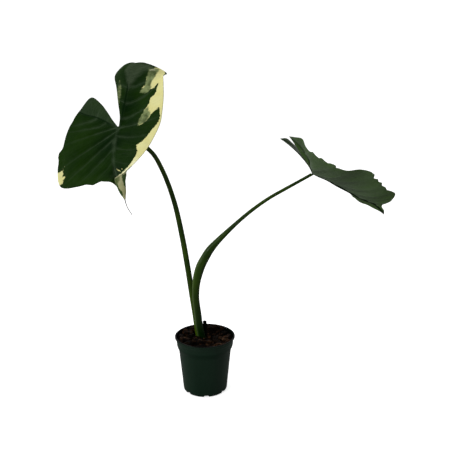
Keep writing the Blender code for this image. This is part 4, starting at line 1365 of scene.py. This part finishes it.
def dress(tree, shader, colour, height, strength, distance):
    """Gives a finish its colour and its bump."""
    tree.links.new(colour, shader.inputs["Base Color"])
    bump = {"Height": height, "Strength": strength, "Distance": distance}
    tree.links.new(node(tree, "ShaderNodeBump", bump).outputs[0], shader.inputs["Normal"])


def leaf_finish(
    name,
    dark,
    mid,
    vein,
    groove,
    rib_shade,
    lobe_shade,
    rib_shade_width,
    cream,
    pale_cream,
    sage,
    sheen_on_cream,
    vein_sheen_share,
    roughness,
    specular,
    relief,
):
    """A leaf's face: mottled green, paler along its veins, with the cream marking, painted sheen and
    painted shadow by the ribs.
    """
    made, tree, shader, spot = new_finish(name, roughness, specular)
    leaf_place = attribute(tree, "leaf_place", "Vector")
    row, share, off_rib = axes(tree, leaf_place)
    off_vein, off_margin, sheen = axes(tree, attribute(tree, "leaf_lines", "Vector"))
    along_veins = stretched(tree, leaf_place, (9.0, 2.0, 0.0))
    brushed = mottle(tree, along_veins, 1.2)

    # The green, paler along the veins and ribs, with painted sheen beside them and over broad patches,
    # and painted shadow in the grooves beside the ribs
    patchy = times(tree, mottle(tree, spot, 34.0), 0.5)
    patchy = maths(tree, "ADD", patchy, times(tree, ramp(tree, share, 0.05, 0.6), 0.5))
    green = blend_colours(tree, patchy, dark, mid)
    green = blend_colours(tree, times(tree, brushed, 0.1), green, vein)
    fading = maths(tree, "SUBTRACT", 1.0, times(tree, share, 0.85))
    fading = times(tree, fading, ramp(tree, row, 5.0, 8.5, 0.35))
    on_lobe = ramp(tree, row, 9.8, 11.2)
    off_lobe = maths(tree, "SUBTRACT", 1.0, times(tree, on_lobe, 0.8))
    # Painted sheen: a soft pale zone beside each vein and along the midrib
    vein_sheen = times(tree, soft_line(tree, off_vein, 0.3, 4.5), fading)
    vein_sheen = maths(tree, "MAXIMUM", vein_sheen, times(tree, soft_line(tree, off_rib, 1.0, 5.0), off_lobe))
    uneven = maths(tree, "ADD", 0.2, mottle(tree, spot, 80.0, 2.0))
    vein_sheen = times(tree, vein_sheen, uneven, vein_sheen_share)
    vein_line = times(tree, soft_line(tree, off_vein, 0.2, 1.1), fading)
    rib_line = times(tree, soft_line(tree, off_rib, 0.3, 1.2), times(tree, off_lobe, 0.5))
    veins = maths(tree, "MAXIMUM", vein_line, rib_line)
    green = blend_colours(tree, maths(tree, "MAXIMUM", veins, vein_sheen), green, vein)
    # Painted sheen: the green turned towards the vein colour as far as the blade's sheen value says
    streaky = maths(tree, "ADD", 0.7, times(tree, brushed, 0.3))
    green = blend_colours(tree, times(tree, sheen, streaky), green, vein)
    # Painted shadow beside the raised ribs, in the groove colour
    shade = times(tree, off_lobe, rib_shade)
    shade = maths(tree, "MAXIMUM", times(tree, on_lobe, lobe_shade), shade)
    shade = times(tree, soft_line(tree, off_rib, rib_shade_width, 1.6), shade)
    green = blend_colours(tree, shade, green, groove)

    # The cream, and the half tones beside it
    pale = blend_colours(tree, mottle(tree, spot, 60.0, low=0.35, high=0.65), cream, pale_cream)
    pale = blend_colours(tree, times(tree, brushed, 0.05), pale, mid)
    pale = blend_colours(tree, times(tree, veins, 0.15), pale, mid)
    # Painted sheen on the cream as well
    pale = blend_colours(tree, times(tree, sheen, 0.35), pale, vein)
    cream_mask = marked(tree, "cream", leaf_place, 3.4, 3.6, 0.35)
    colour = blend_colours(tree, cream_mask, green, pale)
    flecks = maths(tree, "ADD", 0.1, times(tree, mottle(tree, spot, 110.0), 0.3))
    half_tone = blend_colours(tree, flecks, green, sage)
    half_tone_mask = marked(tree, "half_tone", leaf_place, 3.0, 3.0, 1.2)
    colour = blend_colours(tree, half_tone_mask, colour, half_tone)

    # The painted sheen bands over both, and a pale line along the margin
    dusting = maths(tree, "ADD", 0.55, times(tree, mottle(tree, along_veins, 2.0), 0.6))
    # Painted sheen bands: greyish over the green, nearly white over the cream
    bloom = times(tree, marked(tree, "bloom", leaf_place, 5.0, 3.0, 3.0), dusting)
    sheen_band_colour = blend_colours(tree, maths(tree, "MAXIMUM", cream_mask, 0.015), vein, sheen_on_cream)
    colour = blend_colours(tree, bloom, colour, sheen_band_colour)
    # A thin pale line along the margin: partly the edge's own paleness, partly painted highlight
    margin = times(tree, soft_line(tree, off_margin, 0.2, 0.7), 0.3)
    colour = blend_colours(tree, margin, colour, vein)
    finest = times(tree, mottle(tree, spot, 300.0, 2.0, 0.2, 0.8), 0.5)
    dress(tree, shader, colour, maths(tree, "ADD", brushed, finest), relief, 0.0006)
    return made


def stem_finish(name, dark, mid, pale, foot_tint_and_shade, roughness, specular):
    """A petiole's skin: green with fine long streaks, paler on the sheath's margin and on a painted
    highlight.

    At its foot it turns to another green, which on the right petiole is painted shade.
    """
    made, tree, shader, spot = new_finish(name, roughness, specular)
    streaks = mottle(tree, stretched(tree, attribute(tree, "grain", "Vector"), (1.0, 1.0, 14.0)), 6.0)
    colour = blend_colours(tree, mottle(tree, spot, 30.0, 2.0), dark, mid)
    colour = blend_colours(tree, times(tree, streaks, 0.06), colour, pale)
    # Towards the foot the colour turns to another green: painted shade, nearly black-green, on the right
    # petiole, and a paler green on the left
    colour = blend_colours(tree, ramp(tree, axes(tree, spot)[2], 0.2, 0.105), colour, foot_tint_and_shade)
    # The sheath's pale margin and the painted highlight streak
    colour = blend_colours(tree, times(tree, attribute(tree, "sheath"), 0.7), colour, pale)
    dress(tree, shader, colour, streaks, 0.25, 0.0003)
    return made


def pot_finish():
    """Dark green moulded plastic with faint flow marks; painted shade makes the inner wall darker, the
    lip's top is darker too, and both are duller.
    """
    made, tree, shader, spot = new_finish("pot_plastic_finish", 0.42, 0.02)
    tall = node(tree, "ShaderNodeMapping", {0: spot, "Scale": (1.0, 1.0, 0.12)}, vector_type="POINT")
    flow = mottle(tree, tall.outputs[0], 60.0)
    colour = blend_colours(tree, flow, (0.0008, 0.0135, 0.0045), (0.002, 0.017, 0.0065))
    colour = blend_colours(tree, times(tree, mottle(tree, spot, 22.0), 0.3), colour, (0.005, 0.02, 0.01))
    x, y, height = axes(tree, spot)
    flat = node(tree, "ShaderNodeCombineXYZ", {0: x, 1: y}).outputs[0]
    from_axis = node(tree, "ShaderNodeVectorMath", {0: flat}, operation="LENGTH").outputs["Value"]
    foot, top = BAND_FOOT * MM, (POT_HEIGHT - LIP_HEIGHT) * MM
    foot_middle, top_middle = ((radius - WALL / 2) * MM for radius in (BAND_FOOT_RADIUS, BAND_TOP_RADIUS))
    wall_middle = ramp(tree, height, foot, top, foot_middle, top_middle)
    inside = maths(tree, "LESS_THAN", from_axis, wall_middle)
    inside = times(tree, inside, ramp(tree, height, foot, (BAND_FOOT + 5) * MM))
    lip_top = ramp(tree, height, (POT_HEIGHT - 0.9) * MM, (POT_HEIGHT - 0.3) * MM)
    # Painted shade: the inner wall nearly black above the band's foot, and the lip's top darker too
    painted_shade_and_dark_lip = times(tree, maths(tree, "MAXIMUM", inside, lip_top), 0.95)
    colour = blend_colours(tree, painted_shade_and_dark_lip, colour, (0.0008, 0.0014, 0.0009))
    under_band = soft_line(tree, maths(tree, "SUBTRACT", height, foot), 0.002, 0.005)
    sheltered = maths(tree, "MAXIMUM", painted_shade_and_dark_lip, times(tree, under_band, 0.4))
    tree.links.new(ramp(tree, sheltered, 0.0, 1.0, 0.4, 0.0), shader.inputs["Coat Weight"])
    shader.inputs["Coat Roughness"].default_value = 0.42
    smear = mottle(tree, spot, 35.0, 4.0)
    tree.links.new(ramp(tree, smear, 0.0, 1.0, 0.36, 0.5), shader.inputs["Roughness"])
    dress(tree, shader, colour, plain_noise(tree, spot, 700.0, 2.0), 0.08, 0.0003)
    return made


def mix_finish():
    """Dark peaty potting mix."""
    made, tree, shader, spot = new_finish("potting_mix_finish", 0.95, 0.02)
    crumbs = mottle(tree, spot, 300.0, 4.0, 0.35, 0.65)
    fibres = mottle(tree, spot, 90.0, 5.0, 0.4, 0.6)
    colour = blend_colours(tree, crumbs, (0.001, 0.0007, 0.0005), (0.007, 0.004, 0.0025))
    colour = blend_colours(tree, times(tree, fibres, 0.4), colour, (0.014, 0.007, 0.004))
    dress(tree, shader, colour, crumbs, 0.8, 0.0012)
    return made


def bark_finish():
    """Reddish-brown bark: dark in the cracks, with pale patches of wear and painted highlight.

    Each piece has a shade of its own, partly painted light.
    """
    made, tree, shader, spot = new_finish("bark_finish", 0.8, 0.04)
    tone = maths(tree, "POWER", attribute(tree, "tone"), 2.0)
    grain = mottle(tree, spot, 170.0, 5.0, 0.4, 0.6)
    # Pale patches, partly wear and partly painted highlight, stronger on the paler pieces
    wear_and_highlight = times(tree, mottle(tree, spot, 110.0, 3.0, 0.58, 0.7), times(tree, tone, 0.9))
    colour = blend_colours(tree, tone, (0.002, 0.001, 0.0005), (0.045, 0.018, 0.006))
    colour = blend_colours(tree, grain, (0.001, 0.0006, 0.0004), colour)
    colour = blend_colours(tree, wear_and_highlight, colour, (0.16, 0.09, 0.05))
    dress(tree, shader, colour, grain, 0.6, 0.001)
    return made


def dry_finish():
    """The dried stub of an old petiole, and the left leaf's dry thread."""
    made, tree, shader, _ = new_finish("dry_petiole_finish", 0.8, 0.03)
    long_grain = stretched(tree, attribute(tree, "grain", "Vector"), (1.0, 1.0, 30.0))
    streaks = mottle(tree, long_grain, 4.0, 4.0)
    colour = blend_colours(tree, streaks, (0.0008, 0.0015, 0.0006), (0.0045, 0.0055, 0.0025))
    dress(tree, shader, colour, streaks, 0.6, 0.0006)
    return made


def corm_finish():
    """Brown fibrous skin on the hidden corm."""
    made, tree, shader, spot = new_finish("corm_finish", 0.85, 0.2)
    fibres = mottle(tree, spot, 160.0, 4.0, 0.35, 0.65)
    colour = blend_colours(tree, fibres, (0.03, 0.014, 0.007), (0.09, 0.05, 0.025))
    dress(tree, shader, colour, fibres, 0.5, 0.001)
    return made


def set_camera():
    """The camera that was fitted to the photograph."""
    camera = bpy.data.objects.new("camera", bpy.data.cameras.new("camera"))
    camera.data.lens = LENS
    camera.data.sensor_width = 36.0
    camera.location = Vector(CAMERA_AT) * MM
    camera.rotation_euler = (CAMERA_TILT, 0, 0)
    SCENE.collection.objects.link(camera)
    SCENE.camera = camera


def add_softbox(name, location, size, power):
    """A round soft light, turned to the middle of the plant."""
    lamp = bpy.data.lights.new(name, "AREA")
    lamp.shape = "DISK"
    lamp.size = size
    lamp.energy = power
    made = bpy.data.objects.new(name, lamp)
    made.location = location
    made.rotation_euler = (LIT_MIDDLE - Vector(location)).to_track_quat("-Z", "Y").to_euler()
    SCENE.collection.objects.link(made)


def set_studio():
    """A pale floor under a white surround that is dimmer in front, with two soft boxes."""
    SCENE.view_settings.view_transform = "Standard"
    world = bpy.data.worlds.new("studio")
    world.use_nodes = True
    tree = world.node_tree
    way = axes(tree, node(tree, "ShaderNodeTexCoord").outputs["Generated"])
    height = maths(tree, "ADD", times(tree, way[2], 0.25), times(tree, way[0], -0.25))
    glow = ramp(tree, maths(tree, "ADD", way[1], height), -0.4, 0.8, FRONT_GLOW, BACK_GLOW)
    seen = node(tree, "ShaderNodeLightPath").outputs["Is Camera Ray"]
    tree.links.new(maths(tree, "MAXIMUM", glow, seen), tree.nodes["Background"].inputs["Strength"])
    tree.nodes["Background"].inputs["Color"].default_value = (1, 1, 1, 1)
    SCENE.world = world
    add_softbox("key_box", (-1.35, -1.2, 1.0), 0.8, KEY_POWER)
    add_softbox("fill_box", (1.3, -0.8, 1.0), 1.2, FILL_POWER)
    mesh = bpy.data.meshes.new("floor")
    corners = [(-FLOOR_HALF, -FLOOR_HALF), (FLOOR_HALF, -FLOOR_HALF), (FLOOR_HALF, FLOOR_HALF)]
    corners.append((-FLOOR_HALF, FLOOR_HALF))
    mesh.from_pydata([(x, y, FLOOR_DROP) for x, y in corners], [], [(0, 1, 2, 3)])
    finish, tree, shader, spot = new_finish("floor_finish", 0.9, 0.0)
    patches = mottle(tree, spot, 3.0, low=0.35, high=0.65)
    pale = blend_colours(tree, patches, (0.95, 0.95, 0.95), (0.97, 0.97, 0.97))
    seen = node(tree, "ShaderNodeLightPath").outputs["Is Camera Ray"]
    tree.links.new(blend_colours(tree, seen, FLOOR_BOUNCE, pale), shader.inputs["Base Color"])
    tree.links.new(times(tree, seen, FLOOR_GLOW), shader.inputs["Emission Strength"])
    shader.inputs["Emission Color"].default_value = (1, 1, 1, 1)
    mesh.materials.append(finish)
    place("floor", mesh)


def blade_side(rib, rows, flap, edge, veins, sweep, turn, **marks):
    """All that one half of a blade is made from; it is plain where it has no marks."""
    made = {key: [] for key in ("cream", "green", "half_tone", "flap_half_tone", "bloom", "flap_bloom")}
    made |= {"sheen": [(0, 0)], "flap_sheen": [(0, 0)], "sheen_fade": 0}
    made |= {"rib": rib, "rows": rows, "flap": flap, "edge": edge}
    return {**made, "veins": veins, "sweep": sweep, "turn": turn, **marks}


def build_leaves():
    """Both blades, each with its upper and under face."""
    upper = leaf_finish("leaf_upper_finish", **UPPER_LOOKS)
    left_under = leaf_finish("left_leaf_under_finish", **LEFT_UNDER_LOOKS)
    right_under = leaf_finish("right_leaf_under_finish", **RIGHT_UNDER_LOOKS)
    shape = (LEFT_LOBE_RIB, LEFT_ROWS, LEFT_FLAP, LEFT_EDGE, LEFT_VEINS, LEFT_SWEEP, LEFT_TURN)
    marks = {"cream": [CORNER_CREAM, FOLD_CREAM], "half_tone": [FRONT_PALE], "flap_sheen": LEFT_FLAP_SHEEN}
    left_side = blade_side(*shape, **marks)
    shape = (HOOD_RIB, RIGHT_ROWS, HOOD_FLAP, [], HOOD_VEINS, HOOD_SWEEP, LEFT_TURN)
    marks = {
        "cream": FRONT_STREAKS,
        "green": [HOOD_GREEN, HOOD_CORNER_GREEN, CURLED_EDGE, *FRONT_GREENS],
        "half_tone": HOOD_HALF_TONES,
        "flap_half_tone": [FLAP_PALE],
        "bloom": HOOD_SHEEN_BANDS,
        "flap_bloom": HOOD_FLAP_SHEEN_BANDS,
        "sheen": HOOD_SHEEN,
        "flap_sheen": HOOD_FLAP_SHEEN,
    }
    sides = (left_side, blade_side(*shape, **marks))
    blade = make_blade("leaf_left", LEFT_MIDRIB, sides, LEFT_FACING, (upper, left_under), "blade_left")
    hand_over(blade, "leaf_green", "blade_left")
    shape = (NEAR_RIB, NEAR_ROWS, NEAR_FLAP, NEAR_EDGE, NEAR_VEINS, NEAR_SWEEP, RIGHT_TURN)
    near_side = blade_side(*shape, sheen=NEAR_SHEEN, sheen_fade=0.7)
    far_side = blade_side(FAR_RIB, FAR_ROWS, FAR_FLAP, FAR_EDGE, FAR_VEINS, FAR_SWEEP, RIGHT_TURN)
    sides = (near_side, far_side)
    blade = make_blade("leaf_right", RIGHT_MIDRIB, sides, RIGHT_FACING, (upper, right_under), "blade_right")
    hand_over(blade, "leaf_green", "blade_right")


def end_under(petiole, midrib, facing):
    """Cuts a petiole off flat just under its blade's heart."""
    trim(petiole, [spot - PETIOLE_END * way for spot, way in zip(midrib[-1], facing)], facing)


def build_stems():
    """The two petioles, the left leaf's dry thread and the old stub."""
    looks = {"dark": (0.009, 0.03, 0.0003), "pale": (0.13, 0.19, 0.06), "roughness": 0.3, "specular": 0.12}
    greens = {"mid": (0.03, 0.064, 0.001), "foot_tint_and_shade": (0.045, 0.09, 0.003)}
    skin = stem_finish("left_petiole_finish", **greens, **looks)
    tree = stem_tree()
    petiole = make_stem("stem_left", LEFT_PETIOLE, tree, 3.0, {"Skin": skin})
    end_under(petiole, LEFT_MIDRIB, LEFT_FACING)
    keep_inside(petiole, "petiole_left")
    hand_over(petiole, "petiole_green", "petiole_left")
    # The right petiole's foot colour is painted shade: nearly black-green low down by the mix
    greens = {"mid": (0.024, 0.056, 0.0008), "foot_tint_and_shade": (0.001, 0.012, 0.0)}
    skin = stem_finish("right_petiole_finish", **greens, **looks)
    petiole = sheathed_petiole("stem_right", RIGHT_PETIOLE, SHEATH_CHANNEL, skin)
    end_under(petiole, RIGHT_MIDRIB, RIGHT_FACING)
    keep_inside(petiole, "petiole_right")
    hand_over(petiole, "petiole_green", "petiole_right")
    values = {"Skin": dry_finish(), "Sides": 10, "Rib depth": 0.0}
    hand_over(make_stem("leaf_thread", TAIL, tree, 1.5, values), "leaf_green")
    values = {"Skin": dry_finish(), "Ribs": 6.0, "Rib depth": 0.0009}
    hand_over(make_stem("old_stub", OLD_PETIOLE, tree, 2.0, values), "dry_petiole", "old_petiole")


def build_pot():
    """The pot, the potting mix with its bark, and the corm's finish."""
    hand_over(make_pot(pot_finish()), "pot_plastic", "pot", smooth=False)
    hand_over(make_mix(mix_finish()), "potting_mix", "potting_mix")
    bark = bark_finish()
    hand_over(make_bark(bark), "potting_mix", smooth=False)
    scatter = litter_tree()
    values = {"Least distance": 0.0085, "Seed": 3, "Skin": bark}
    hand_over(make_litter("coarse_litter", scatter, (6.5, 4, 2.6), values), "potting_mix", smooth=False)
    values = {"Least distance": 0.0036, "Density": 150000.0, "Seed": 8, "Tumble": 0.9, "Skin": bark}
    hand_over(make_litter("fine_litter", scatter, (2.6, 1.5, 1.1), values), "potting_mix", smooth=False)
    corm = frame["nodes"]["corm"]
    corm.data.materials.clear()
    corm.data.materials.append(corm_finish())


set_camera()
set_studio()
build_leaves()
build_stems()
build_pot()
